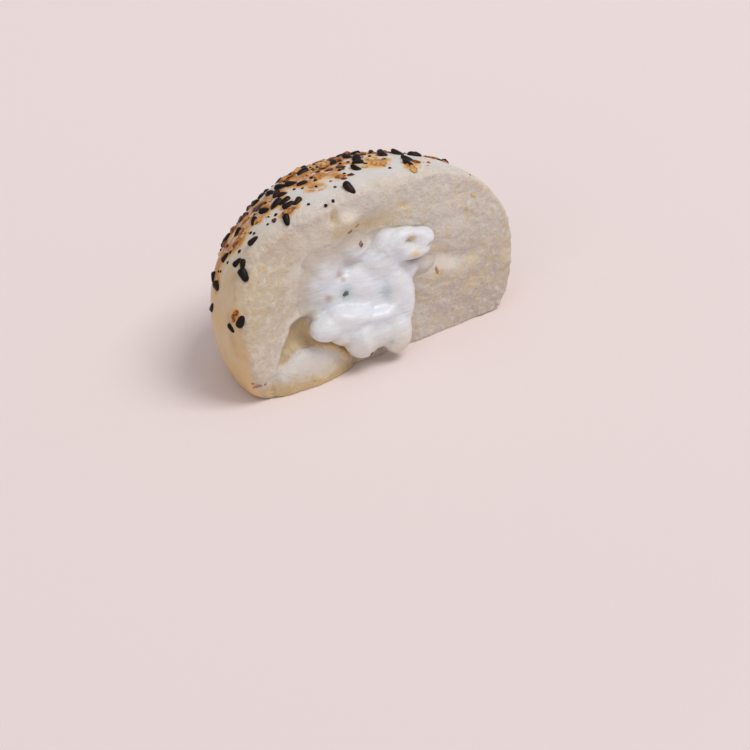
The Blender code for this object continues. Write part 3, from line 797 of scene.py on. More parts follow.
# For flakes also the tone, from straw to charred, and how plump the flake is for its length
SHOWN_FLAKES = (
    (107, 12, 115, 3.2, 0.35, 0.3), (149, 5, 5, 2.8, 0.4, 0.08), (131, 11, 130, 3.0, 0.25, 0.1),
    (124, 14, 55, 2.4, 0.3, 0.16), (84, 13, 145, 3.6, 0.55, 0.25), (113, 19, 100, 4.6, 0.2, 0.3),
    (120, 21, 20, 4.0, 0.3, 0.26), (179, 20, 150, 3.0, 0.4, 0.04), (156, 24.2, 10, 3.0, 0.45, 0.18),
    (26, 7, 85, 3.8, 0.15, 0.04), (42, 20, 55, 3.0, 0.6, 0.25), (0, 15, 105, 2.6, 0.6, 0.08),
    (339, 12.2, 70, 2.6, 0.25, 0.14), (57, 16, 5, 3.0, 0.6, 0.25), (69, 18, 170, 4.2, 0.55, 0.3),
    (183, 37.4, 125, 1.6, 0.55, 0.12), (150, 29, 15, 2.8, 0.4, 0.14), (158, 30, 130, 2.4, 0.45, 0.16),
    (145, 34.6, 165, 2.6, 0.6, 0.24), (141, 33, 135, 3.6, 0.55, 0.28), (164, 26.2, 10, 2.8, 0.2, 0.16),
)
SHOWN_POPPY = (
    (136, 12), (165, 11), (189, 8.2), (153, 16), (188, 16.2), (200, 14.2), (203, 12.2), (169, 23.8),
    (173, 22.4), (175, 25), (110, 6.4), (129, 4.2), (350, 7), (168, 28.4), (171, 28), (163, 35.6),
    (143, 29),
)
# How many, how far from the axis they reach, and the room kept round each
SCATTERED_FLAKES = (26, 32 * MM, 1.6 * MM)
SCATTERED_SESAME = (52, 36 * MM, 1.4 * MM)
SCATTERED_POPPY = (44, 37 * MM, 0.6 * MM)
MORE_POPPY = (24, 36 * MM, 0.5 * MM)
SESAME_LENGTHS = (2.7, 3.7)
FLAKE_LENGTHS = (2.6, 4.6)
FLAKE_SIDES = 6
FLAKE_OUTLINE = (0.75, 1.2)

draw = random.Random(TOPPING_SEED)
taken = []
sesame, flakes, poppy = [], [], []


def from_row(row):
    """A row of a table above, in radians and metres. What follows the length stays as it is."""
    turn, reach, spin, length, *look = row
    return math.radians(turn), reach * MM, math.radians(spin), length * MM, *look


def uneven_outline():
    return [draw.uniform(*FLAKE_OUTLINE) for _ in range(FLAKE_SIDES)]


for turn, reach, spin, length in map(from_row, SHOWN_SESAME):
    taken.append((crown_point(turn, reach), SHOWN_ROOM * length))
    sesame.append((turn, reach, spin, length, SHOWN_LEAN))
for turn, reach, spin, length, tone, plump in map(from_row, SHOWN_FLAKES):
    taken.append((crown_point(turn, reach), SHOWN_ROOM * length))
    flakes.append((turn, reach, spin, length, uneven_outline(), tone, plump))
for turn, reach in SHOWN_POPPY:
    taken.append((crown_point(math.radians(turn), reach * MM), POPPY_RADIUS))
    poppy.append((math.radians(turn), reach * MM))
for turn, reach in scattered_spots(draw, SCATTERED_FLAKES, taken):
    length = draw.uniform(*FLAKE_LENGTHS) * MM
    outline = uneven_outline()
    flakes.append((turn, reach, draw.uniform(0, math.pi), length, outline, None, None))
for turn, reach in scattered_spots(draw, SCATTERED_SESAME, taken):
    length = draw.uniform(*SESAME_LENGTHS) * MM
    sesame.append((turn, reach, draw.uniform(0, 2 * math.pi), length, 0))
poppy += scattered_spots(draw, SCATTERED_POPPY, taken)
poppy += scattered_spots(draw, MORE_POPPY, taken)
print(len(sesame), "sesame seeds,", len(flakes), "onion flakes,", len(poppy), "poppy seeds")

# %% [markdown]
# ## Seeds
# A sesame seed is a flattened drop with a blunt and a pointed end, and a poppy seed is a tiny kidney. A
# sphere with few faces, pushed into shape before it is laid, is enough at this size. All seeds of a kind
# are one mesh, and each carries a random tone, so that the material can make some browner than others.

# %% Seeds
SESAME = (0.5, 0.29, 0.19)  # half sizes, in seed lengths
SESAME_TAPER = 0.24
SESAME_PLUMP = (0.84, 1.06)
SESAME_BEND = (-0.05, 0.05)
SESAME_RIDGE = (0.16, 0.25)  # height and half width, as shares of the seed's own
SESAME_BLUNTNESS = (2.6, 5.0)  # 2 would be an oval
SESAME_TIP = 1e-6  # keeps a division by 0 out of the very tips
SESAME_SUNK = -0.03  # below zero, the middle of a seed is above the skin
POPPY_SUNK = 0.1 * MM
POPPY_SIZES = (0.8, 1.12)
POPPY_FORM = (1.08, 0.9, 0.85)
POPPY_DENT = 0.22  # the kidney's inner side
POPPY_DENT_SPREAD = 0.2
DOWN_X = Matrix.Rotation(math.pi / 2, 4, "Y")

vary = random.Random(TOPPING_SEED + 1)


def tone_piece(bm, verts, tone):
    layer = bm.verts.layers.float.get("tone") or bm.verts.layers.float.new("tone")
    for vert in verts:
        vert[layer] = tone


def sesame_seeds():
    bm = bmesh.new()
    bm.verts.layers.float.new("tone")
    for turn, reach, spin, length, lean in sesame:
        seed = bmesh.ops.create_uvsphere(bm, u_segments=12, v_segments=8, radius=1, matrix=DOWN_X)["verts"]
        plump, bend = vary.uniform(*SESAME_PLUMP), vary.uniform(*SESAME_BEND)
        bluntness = vary.uniform(*SESAME_BLUNTNESS)
        for vert in seed:
            x, y, z = vert.co
            blunt = math.sqrt((1 - abs(x) ** bluntness + SESAME_TIP) / (1 - x * x + SESAME_TIP))
            narrow = (1 - SESAME_TAPER * x) * plump * blunt
            ridge = 1 + SESAME_RIDGE[0] * bell(y, SESAME_RIDGE[1])
            vert.co = Vector((
                SESAME[0] * x,
                SESAME[1] * y * narrow + bend * (x * x - 0.5),
                SESAME[2] * z * narrow * ridge,
            )) * length
        tone_piece(bm, seed, vary.random())
        laid = laid_on_crown(turn, reach, spin, SESAME_SUNK * length, lean)
        bmesh.ops.transform(bm, matrix=laid, verts=seed)
    return new_object("black_sesame", bm)


def poppy_seeds():
    bm = bmesh.new()
    bm.verts.layers.float.new("tone")
    for turn, reach in poppy:
        seed = bmesh.ops.create_icosphere(bm, subdivisions=2, radius=POPPY_RADIUS)["verts"]
        size = vary.uniform(*POPPY_SIZES)
        for vert in seed:
            dent = 1 - POPPY_DENT * math.exp(-((vert.co.x / POPPY_RADIUS - 1) ** 2) / POPPY_DENT_SPREAD)
            vert.co = vert.co * Vector(POPPY_FORM) * size * dent
        tone_piece(bm, seed, vary.random())
        laid = laid_on_crown(turn, reach, vary.uniform(0, 2 * math.pi), POPPY_SUNK)
        bmesh.ops.transform(bm, matrix=laid, verts=seed)
    return new_object("poppy_seeds", bm)


black_sesame = sesame_seeds()
poppy_piece = poppy_seeds()
print("points of sesame and poppy:", len(black_sesame.data.vertices), len(poppy_piece.data.vertices))

# %% [markdown]
# ## Toasted onion
# Onion flakes dry into thin curled plates with uneven outlines, and toast from straw to dark brown. Each
# starts as a disc, is inset and poked so that its middle can ripple, and gets its thickness from
# `solidify`. One level of subdivision rounds the edges. All of them are then one piece.

# %% Toasted onion
FLAKE = (0.54, 0.38)  # half sizes, in flake lengths
FLAKE_THICKNESS = 0.16
FLAKE_CURL = 0.12
FLAKE_RAISED = 0.05
FLAKE_PLUMP = (0.02, 0.13)  # of the scattered ones; plumper ones don't curl
FLAKE_JAGGED = 0.22
FLAKE_INSET = 0.4
FLAKE_RIPPLE = 0.07
FLAKE_RIPPLE_PITCH = 1.4
FLAKE_SHIFT = 9  # the noise is moved by up to this, so that no two flakes ripple alike
RIM_TONE = (-0.02, 0.16)  # added to a flake's tone in its middle and at its rim
RIM = (0.4, 1.0)  # where the middle ends and the rim is, in half lengths


def onion_flake(length, outline, tone, plump):
    bm = bmesh.new()
    bm.verts.layers.float.new("tone")
    bmesh.ops.create_circle(bm, cap_ends=True, segments=2 * FLAKE_SIDES, radius=1)
    for vert in bm.verts:
        side = math.atan2(vert.co.y, vert.co.x) / (2 * math.pi) * FLAKE_SIDES
        low = math.floor(side)
        share = side - low
        reach = outline[low % FLAKE_SIDES] * (1 - share) + outline[(low + 1) % FLAKE_SIDES] * share
        vert.co *= reach + vary.uniform(-FLAKE_JAGGED, FLAKE_JAGGED)
    bmesh.ops.inset_region(bm, faces=bm.faces[:], thickness=FLAKE_INSET, use_even_offset=True)
    inner = max(bm.faces, key=lambda face: len(face.verts))
    bmesh.ops.poke(bm, faces=[inner])
    ripple = Vector((vary.uniform(0, FLAKE_SHIFT), vary.uniform(0, FLAKE_SHIFT), 0))
    for vert in bm.verts:
        x, y = vert.co.x, vert.co.y
        curl = FLAKE_CURL * x * x * (1 - plump / FLAKE_PLUMP[1]) if plump < FLAKE_PLUMP[1] else 0
        height = FLAKE_RAISED + curl + plump * (1 - x * x - y * y)
        height += FLAKE_RIPPLE * noise.noise(vert.co * FLAKE_RIPPLE_PITCH + ripple)
        vert.co = Vector((x * FLAKE[0], y * FLAKE[1], height)) * length
    bmesh.ops.solidify(bm, geom=bm.faces[:], thickness=FLAKE_THICKNESS * length)
    bmesh.ops.recalc_face_normals(bm, faces=bm.faces[:])
    layer = bm.verts.layers.float["tone"]
    for vert in bm.verts:
        edge = math.hypot(vert.co.x / FLAKE[0], vert.co.y / FLAKE[1]) / length
        vert[layer] = tone + RIM_TONE[0] + (RIM_TONE[1] - RIM_TONE[0]) * smooth_step(*RIM, edge)
    return bm


def onion_flakes():
    joined = bmesh.new()
    joined.verts.layers.float.new("tone")
    for turn, reach, spin, length, outline, tone, plump in flakes:
        if tone is None:
            tone, plump = vary.random(), vary.uniform(*FLAKE_PLUMP)
        flake = onion_flake(length, outline, tone, plump)
        flake.transform(laid_on_crown(turn, reach, spin, 0))
        mesh = bpy.data.meshes.new("flake")
        flake.to_mesh(mesh)
        flake.free()
        joined.from_mesh(mesh)
        bpy.data.meshes.remove(mesh)
    plates = new_object("onion_flakes", joined)
    rounded = plates.modifiers.new("rounded", "SUBSURF")
    rounded.levels = rounded.render_levels = 1
    keep_result(plates)
    return plates


flake_piece = onion_flakes()
print("points of the flakes:", len(flake_piece.data.vertices))

# %% [markdown]
# ## Onion granules
# Crumbs that broke off the flakes lie round each of them. They are lumpy grains made from a sphere with
# few faces, since they are at most two millimetres long. None may come near the tear, because those that
# show there are all listed one by one.

# %% Onion granules
GRANULES_EACH = 3
GRANULE_SIZES = (0.3 * MM, 1.0 * MM)
GRANULE_REACH = (1.4 * MM, 4.2 * MM)
GRANULE_FORM = (1.0, 0.75, 0.5)
GRANULE_LUMPY = 0.45
GRANULE_LUMPY_PITCH = 1.3
GRANULE_SUNK = 0.1
FURTHEST = 0.98 * BUN_RADIUS
BEHIND_RIM = 2.2 * MM


def onion_granules():
    bm = bmesh.new()
    bm.verts.layers.float.new("tone")
    for turn, reach, *_ in flakes:
        for _ in range(GRANULES_EACH):
            away, way = vary.uniform(*GRANULE_REACH), vary.uniform(0, 2 * math.pi)
            near = max(reach + away * math.cos(way), NEAREST)
            near_turn = turn + away * math.sin(way) / near
            near = min(near, FURTHEST)
            here = crown_point(near_turn, near)
            if here.y - torn_y(here.x, here.z) < BEHIND_RIM:
                continue
            size = vary.uniform(*GRANULE_SIZES)
            crumb_of_onion = bmesh.ops.create_icosphere(bm, subdivisions=2, radius=1)["verts"]
            for vert in crumb_of_onion:
                lumpy = 1 + GRANULE_LUMPY * noise.noise(vert.co * GRANULE_LUMPY_PITCH + here / MM)
                vert.co = vert.co * Vector(GRANULE_FORM) * lumpy * size
            tone_piece(bm, crumb_of_onion, vary.random())
            laid = laid_on_crown(near_turn, near, vary.uniform(0, 6), GRANULE_SUNK * size)
            bmesh.ops.transform(bm, matrix=laid, verts=crumb_of_onion)
    return new_object("onion_granules", bm)


granule_piece = onion_granules()
print("points of the granules:", len(granule_piece.data.vertices))

# %% [markdown]
# ## Stains and painted shade
# Toasted onion gives off a little oil in the steamer, and the skin takes up its colour in a halo round
# each flake. A weaker halo round each seed is painted shade, and the lower side of the bun is painted a
# warmer tan, as warm shade. Both are kept as masks: the halo is a sum of soft bells round the flakes and
# seeds, and the tan follows the height.

# %% Stains and tan
HALO = 0.8  # half width of a halo, in flake lengths
# Painted shade round each seed, laid into the same mask as the oil stains
SEED_SHADE_HALO = (0.55, 0.45)  # half width in seed lengths, and strength
# Stains with no flake on them: degrees round the axis, millimetres from it and half width
STAINS = (
    (165, 11.8, 2.4), (133, 14.8, 3.2), (142, 13.2, 2.6), (180, 20.3, 2.2), (158, 22, 2.6), (151, 27.5, 3.2),
    (171, 10.6, 1.6), (150, 36.4, 3.4), (158, 36.6, 2.8), (164, 31, 2.2), (147, 25, 2.8), (143, 21, 2.6),
    (142, 30.5, 3.8), (136, 34, 4.6), (158, 32.5, 2.6), (155, 34.6, 3.6), (163, 37, 2.6), (118, 8.3, 3.0),
    (84, 8.5, 1.6), (26, 10.7, 1.4), (338, 12.4, 2.2),
)
STAINS_ABOVE = 10 * MM
STAIN_ENDS = 2.5  # where a stain has faded out, in half widths
ALL_CRUMB = 0.95  # share of crumb from which there is no skin to stain
# Painted warm shade: the skin turns tan from the top down to these heights
SIDE_SHADE_HEIGHTS = (44 * MM, 16 * MM)


def stain_masks(obj):
    spots = [(crown_point(turn, reach), HALO * length, 1) for turn, reach, _, length, *_ in flakes]
    spots += [(crown_point(math.radians(turn), reach * MM), width * MM, 1) for turn, reach, width in STAINS]
    width, strength = SEED_SHADE_HALO
    # Painted shade round each seed
    spots += [(crown_point(turn, reach), width * length, strength) for turn, reach, _, length, _ in sesame]
    oil_and_seed_shade, tan = [], []
    for vert, torn in zip(obj.data.vertices, crumb):
        point = vert.co
        halo = 0
        if torn < ALL_CRUMB and point.z > STAINS_ABOVE:
            for spot, width, strength in spots:
                reach = (point - spot).length
                if reach < STAIN_ENDS * width:
                    halo += strength * bell(reach, width)
        oil_and_seed_shade.append(min(halo, 1) * (1 - torn))
        tan.append(smooth_step(*SIDE_SHADE_HEIGHTS, point.z))
    add_mask(obj, "oil_and_seed_shade", oil_and_seed_shade)
    add_mask(obj, "tan", tan)
    print(len(spots), "stains")


stain_masks(dough)

# %% [markdown]
# ## Bits under the surface, and painted shade
# Some herbs and onion lie just under the cheese and only tint it, and painted golden shade lies under the
# tongue and the lip. Painted brown shade runs down the left skin below the seeds, and a golden seam of
# painted shade darkens both dough and cheese where the cheese lies on the rolled floor. All of these are
# masks again. Their places are given as they look from the front left, so a ray shot from there finds the
# point of the surface.

# %% Bits under the surface
# Bits that tint the cheese over them: place (x, height) and half width
VEILED = {
    "bluish": ((-9.3, 20.2, 1.7), (1.4, 16.2, 1.5), (2.4, 2.7, 0.6)),
    "pinkish": ((-10.9, 25.2, 1.0), (-10.0, 23.6, 0.7), (-14.2, 19.8, 1.0), (-4.7, 30.9, 1.3)),
    # Golden: one straw bit, and painted warm shade under the tongue and the lip
    "golden_shade_and_bits": (
        (10.0, 23.6, 1.2), (13.0, 22.4, 1.0), (8.8, 27.8, 1.2), (-12.5, 5.5, 1.4), (-10.2, 6.3, 1.0),
        (-13.0, 6.9, 1.1), (-15.6, 8.8, 1.0), (-18.2, 10.3, 1.0),
    ),
}
# Painted brown shade that runs down the left skin below the seeds: place (x, height) and half width
SEED_SHADE_STREAKS = (
    (-35.3, 39.3, 1.0), (-37.5, 34.7, 1.3), (-38.9, 33.2, 1.4), (-38.6, 30.8, 0.8), (-38.5, 28.2, 0.7),
    (-40.4, 23.7, 1.3), (-40.3, 19.5, 1.5), (-39.7, 17.0, 1.2), (-39.2, 14.1, 1.0), (-36.7, 19.0, 1.4),
    (-36.7, 15.8, 1.1), (-36.4, 12.6, 0.9),
)
# The golden seam of painted shade is full and ends this far from the other surface. Ramps up z, along x
# and along y keep it low, left and in front, where the lip and the left drip lie on the rolled floor.
SEAM_FULL = 0.8 * MM
SEAM_ENDS = 2.6 * MM
SEAM_BELOW = (14 * MM, 11 * MM)
SEAM_LEFT = (-3 * MM, -8 * MM)
SEAM_FRONT = (0, -2 * MM)

SEEN_FROM = Vector((-0.455, -0.788, 0.415))  # from the torn side to the viewer
SEEN_REACH = 60 * MM


def tree_of(obj):
    return BVHTree.FromPolygons(
        [vert.co for vert in obj.data.vertices],
        [tuple(face.vertices) for face in obj.data.polygons],
    )


def seen_at(x, z, trees):
    """The surface seen at a place of the torn side: a ray from the viewer finds it."""
    flat = Vector((x * MM, TEAR_Y - TEAR_LEAN * z * MM, z * MM))
    hits = [tree.ray_cast(flat + SEEN_FROM * SEEN_REACH, -SEEN_FROM) for tree in trees]
    return min((hit for hit in hits if hit[0]), key=lambda hit: hit[3])


def spots_seen(rows, trees):
    """The points of the surface at the places of a table, each with its half width."""
    return [(seen_at(x, z, trees)[0], width * MM) for x, z, width in rows]


def add_spots_mask(obj, name, spots, gathered):
    """Stores how near each vertex is to the spots. Where spots overlap, sum or max gathers them."""
    shares = []
    for vert in obj.data.vertices:
        near = gathered(bell((vert.co - spot).length, width) for spot, width in spots)
        shares.append(min(near, 1) if near > FAINT else 0)
    add_mask(obj, name, shares)


def seam_shade_mask(obj, other):
    """Paints golden shade on both where dough and cheese meet low on the left."""
    shares = []
    for vert in obj.data.vertices:
        x, y, z = vert.co
        share = smooth_step(*SEAM_BELOW, z) * smooth_step(*SEAM_LEFT, x) * smooth_step(*SEAM_FRONT, y)
        reach = other.find_nearest(vert.co, SEAM_ENDS)[3] if share > 0 else None
        shares.append(0 if reach is None else share * (1 - smooth_step(SEAM_FULL, SEAM_ENDS, reach)))
    add_mask(obj, "lip_seam_shade", shares)


surfaces = [tree_of(cream), tree_of(dough)]
for name, rows in VEILED.items():
    add_spots_mask(cream, name, spots_seen(rows, surfaces), max)
add_spots_mask(dough, "seed_shade", spots_seen(SEED_SHADE_STREAKS, surfaces), sum)
seam_shade_mask(cream, surfaces[1])
seam_shade_mask(dough, surfaces[0])
print("masks on the cheese:", [name for name in cream.data.attributes.keys() if name in (*VEILED, "lip_seam_shade")])

# %% [markdown]
# ## Flecks
# Single bits of herb, onion and spice stand out of the cheese, and a few stick to the crumb. Each is a
# small flat grain, laid on the surface along its normal. Its colour is stored on its vertices, because
# one piece holds green, red and brown bits.

# %% Flecks
HERB = (0.035, 0.06, 0.045)
RED = (0.16, 0.035, 0.03)
STRAW = (0.62, 0.47, 0.20)
AMBER = (0.45, 0.17, 0.05)
PURPLE = (0.30, 0.13, 0.13)

# Place (x, height), length and width in millimetres, turn in degrees, how deep it is sunk, colour
FLECKS = (
    (-9.5, 19.6, 1.6, 1.2, 30, 0.0, HERB),
    (-4.7, 30.9, 1.5, 1.1, 60, 0.1, RED),
    (8.8, 27.8, 1.3, 1.0, 40, 0.0, STRAW),
    (-3.3, 1.5, 1.2, 0.7, 80, 0.0, HERB),
    (-7.5, 35.0, 1.5, 0.9, 35, 0.05, RED),
    (-5.5, 35.9, 1.3, 0.7, 60, 0.05, AMBER),
    (15.9, 17.1, 2.2, 0.7, 100, 0.0, AMBER),
    (26.9, 33.4, 1.9, 1.1, 130, 0.1, STRAW),
    (26.2, 38.9, 0.8, 0.6, 0, 0.0, AMBER),
    (-33.7, 3.9, 3.0, 0.7, 12, 0.05, PURPLE),
    (-35.5, 5.2, 0.8, 0.6, 0, 0.0, AMBER),
)
FLECK_LUMPY = 0.4
FLECK_LUMPY_PITCH = 1.5


def herb_flecks(trees):
    bm = bmesh.new()
    colour_of = bm.verts.layers.float_color.new("colour")
    for x, z, length, width, turn, sunk, colour in FLECKS:
        spot, normal, _, _ = seen_at(x, z, trees)
        form = Vector((length / 2, width / 2, width / 4))
        fleck = bmesh.ops.create_icosphere(bm, subdivisions=3, radius=1)["verts"]
        for vert in fleck:
            lumpy = 1 + FLECK_LUMPY * noise.noise(vert.co * FLECK_LUMPY_PITCH + Vector((x, z, 0)))
            vert.co = vert.co * form * lumpy * MM
            vert[colour_of] = (*colour, 1)
        facing = normal.to_track_quat("Z", "Y").to_matrix().to_4x4()
        spin = Matrix.Rotation(math.radians(turn), 4, "Z")
        laid = Matrix.Translation(spot - normal * sunk * MM) @ facing @ spin
        bmesh.ops.transform(bm, matrix=laid, verts=fleck)
    return new_object("herb_flecks", bm)


fleck_piece = herb_flecks(surfaces)
print(len(FLECKS), "flecks with", len(fleck_piece.data.vertices), "points")

# %% [markdown]
# ## Node helpers
# A material is a small tree of nodes. A few helpers keep the trees readable: one fills or links a socket,
# one adds a node, and `layered` lays colours over each other by a share, as a painter glazes. Coordinates
# are turned to millimetres first, so that the pitch of every pattern can be read as bumps in a millimetre.

# %% Node helpers
def feed(tree, socket, value):
    """Links a socket to another node's output, or sets it to a plain value."""
    if isinstance(value, bpy.types.NodeSocket):
        tree.links.new(value, socket)
    else:
        socket.default_value = value


def put(tree, kind, values=(), **settings):
    """Adds a node, sets its properties, and fills its inputs by name or number."""
    node = tree.nodes.new("ShaderNode" + kind)
    for name, value in settings.items():
        setattr(node, name, value)
    for name, value in dict(values).items():
        feed(tree, node.inputs[name], value)
    return node


def mixed(tree, share, first, second):
    """A colour between two others: the first at share 0, the second at 1."""
    node = put(tree, "Mix", data_type="RGBA")
    first, second = ((*colour, 1) if isinstance(colour, tuple) else colour for colour in (first, second))
    for index, value in ((0, share), (6, first), (7, second)):
        feed(tree, node.inputs[index], value)
    return node.outputs[2]


def ranged(tree, value, low, high, to_low=0.0, to_high=1.0):
    """A value stretched from one range to another and kept inside it."""
    values = {"Value": value, "From Min": low, "From Max": high, "To Min": to_low, "To Max": to_high}
    return put(tree, "MapRange", values).outputs[0]


def times(tree, first, second):
    return put(tree, "Math", {0: first, 1: second}, operation="MULTIPLY").outputs[0]


def plus(tree, first, second):
    return put(tree, "Math", {0: first, 1: second}, operation="ADD").outputs[0]


def layered(tree, colour, *layers):
    """Lays colours over the first one. Each layer is where it lies, how strongly, and its colour."""
    for share, strength, over in layers:
        colour = mixed(tree, times(tree, share, strength), colour, over)
    return colour


def mask(tree, name):
    return put(tree, "Attribute", attribute_name=name).outputs["Fac"]


def in_millimetres(tree):
    place = put(tree, "TexCoord").outputs["Object"]
    return put(tree, "Mapping", {"Vector": place, "Scale": (1 / MM, 1 / MM, 1 / MM)}).outputs[0]


def fill(tree, shader, **values):
    """Fills inputs of the shader, whose names are written with _ for each space."""
    for name, value in values.items():
        feed(tree, shader.inputs[name.replace("_", " ")], value)


def new_material(name, **plain):
    """A Principled material. Its plain inputs are the same all over."""
    material = bpy.data.materials.new(name)
    material.use_nodes = True
    tree = material.node_tree
    shader = tree.nodes["Principled BSDF"]
    fill(tree, shader, **plain)
    return material, tree, shader


def bumps(tree, height, distance, strength):
    return put(tree, "Bump", {"Height": height, "Distance": distance, "Strength": strength}).outputs[0]


# %% [markdown]
# ## Two shared effects
# Dough, cheese, seeds and onion all have a fine grain, and most have soft patches of another tone. Each
# effect is a node group, built once. `grain` gives a height for the Bump node, and `patches` gives a mask
# whose edge can be made soft or sharp.

# %% Two shared effects
GRAIN_DETAIL = 4.0
PATCHES_DETAIL = 2.0
PATCHES_BENT = 0.6


def new_group(name, numbers, result):
    group = bpy.data.node_groups.new(name, "ShaderNodeTree")
    group.interface.new_socket("Place", in_out="INPUT", socket_type="NodeSocketVector")
    for number, value in numbers:
        socket = group.interface.new_socket(number, in_out="INPUT", socket_type="NodeSocketFloat")
        socket.default_value = value
    group.interface.new_socket(result, in_out="OUTPUT", socket_type="NodeSocketFloat")
    return group, group.nodes.new("NodeGroupInput").outputs, group.nodes.new("NodeGroupOutput").inputs


def grain_group():
    group, given, result = new_group("grain", (("Pitch", 1.0), ("Sharpness", 0.5)), "Height")
    values = {"Vector": given["Place"], "Scale": given["Pitch"], "Roughness": given["Sharpness"]}
    coarse = put(group, "TexNoise", {**values, "Detail": GRAIN_DETAIL})
    group.links.new(coarse.outputs[0], result["Height"])
    return group


def patches_group():
    group, given, result = new_group("patches", (("Pitch", 1.0), ("From", 0.45), ("To", 0.6)), "Mask")
    values = {"Vector": given["Place"], "Scale": given["Pitch"]}
    cloud = put(group, "TexNoise", {**values, "Detail": PATCHES_DETAIL, "Distortion": PATCHES_BENT})
    group.links.new(ranged(group, cloud.outputs[0], given["From"], given["To"]), result["Mask"])
    return group


GRAIN = grain_group()
PATCHES = patches_group()
print("shared effects:", [group.name for group in (GRAIN, PATCHES)])


def grain(tree, place, pitch, sharpness):
    values = {"Place": place, "Pitch": pitch, "Sharpness": sharpness}
    return put(tree, "Group", values, node_tree=GRAIN).outputs[0]


def patches(tree, place, pitch, start, full):
    values = {"Place": place, "Pitch": pitch, "From": start, "To": full}
    return put(tree, "Group", values, node_tree=PATCHES).outputs[0]


# %% [markdown]
# ## The skin's colour
# The skin of a steamed bun is nearly white on top, mottled with cream, more so at the side, and painted tan
# lower down as warm shade. The colour is laid on in that order, and then come the oil stains round the
# flakes, with a darker core and small holes where the skin stayed clean, painted shade round the seeds in
# the same layer, and painted brown shade that runs down below the seeds.

# %% The skin's colour
SKIN_WHITE = (0.69, 0.66, 0.645)
SKIN_CREAM = (0.64, 0.53, 0.37)
# Painted warm shade on the lower side, and painted brown shade below the seeds
SKIN_SHADE_TAN = (0.66, 0.44, 0.19)
SEED_SHADE_BROWN = (0.50, 0.34, 0.20)
OIL_PALE = (0.72, 0.40, 0.10)
OIL_DARK = (0.50, 0.19, 0.022)
# Patches, here and below: pitch, and the noise where a patch starts and where it is full
UNEVEN_TAN = (0.09, 0.35, 0.7)
MOTTLED = (0.3, 0.38, 0.68)
STAIN_HOLES = (0.45, 0.3, 0.52)
# Ranges, here and below: a value's low and high, and what they become if that isn't 0 and 1
UNEVEN_SHARE = (0, 1, 0.7, 1.0)
MOTTLED_AT_SIDE = (0, 0.25, 0.3, 0.9)
STAIN_EDGE = (0.25, 0.6, 0, 0.95)
STAIN_CORE = (0.6, 1.0)


def skin_colour(tree, place):
    # The tan mask is painted warm shade; the other mask holds the oil stains and painted shade round the
    # seeds
    side, oil_and_seed_shade = mask(tree, "tan"), mask(tree, "oil_and_seed_shade")
    uneven = ranged(tree, patches(tree, place, *UNEVEN_TAN), *UNEVEN_SHARE)
    mottled = times(tree, patches(tree, place, *MOTTLED), ranged(tree, side, *MOTTLED_AT_SIDE))
    stained = times(tree, ranged(tree, oil_and_seed_shade, *STAIN_EDGE), patches(tree, place, *STAIN_HOLES))
    return layered(
        tree, SKIN_WHITE,
        (mottled, 1, SKIN_CREAM),
        (side, uneven, SKIN_SHADE_TAN),
        (stained, 1, mixed(tree, ranged(tree, oil_and_seed_shade, *STAIN_CORE), OIL_PALE, OIL_DARK)),
        # Painted brown shade below the seeds
        (mask(tree, "seed_shade"), 0.5, SEED_SHADE_BROWN),
    )


print("blue of the skin, top to side:", [colour[2] for colour in (SKIN_WHITE, SKIN_CREAM, SKIN_SHADE_TAN)])

# %% [markdown]
# ## The crumb's colour
# Torn crumb is a duller, greyer cream than the skin. It is warmer on the left, where painted shade also
# darkens it below the top, painted shade greys it low on the right, and it is speckled with yellow bubbles
# and white threads. Over that come the pulled white places with painted light at the upper left and on the
# flap, the rolled floor, the tan foot and the painted warm shade of hollows and slits, each where its mask
# says.

# %% The crumb's colour
CRUMB_PALE = (0.63, 0.57, 0.515)
CRUMB_WHITE = (0.75, 0.69, 0.63)
# Partly the crumb's warmer tone, partly painted shade that darkens the left
CRUMB_WARM_AND_SHADED = (0.55, 0.465, 0.36)
# Painted shade, low on the right
CRUMB_SHADE = (0.52, 0.455, 0.40)
CRUMB_YELLOW = (0.60, 0.475, 0.28)
# Pulled white, and painted light at the upper left and on the flap
PULLED_AND_LIT_CREAM = (0.73, 0.655, 0.56)
ROLL_PALE = (0.64, 0.62, 0.60)
FOOT_TAN = (0.58, 0.44, 0.24)
# Painted warm shade in hollows and slits, darker left of the slit
HOLLOW_SHADE_TAN = (0.70, 0.57, 0.37)
HOLLOW_SHADE_LEFT = (0.56, 0.44, 0.28)
# Ranges along x and up z
WARM_FROM = (2 * MM, -22 * MM)
WARM_ABOVE = (2 * MM, 24 * MM)
WARM_BELOW = (41 * MM, 31 * MM)
YELLOW_BELOW = (42 * MM, 32 * MM, 0.25, 1)
SHADE_RIGHT = (6 * MM, 26 * MM)
SHADE_BELOW = (34 * MM, 8 * MM)
LEFT_OF_SLIT = (-20 * MM, -26 * MM)
THREADS = (0.7, 0.5, 0.68)
BLOTCHES = (0.19, 0.5, 0.74)
SPECKLES = (0.42, 0.54, 0.66)


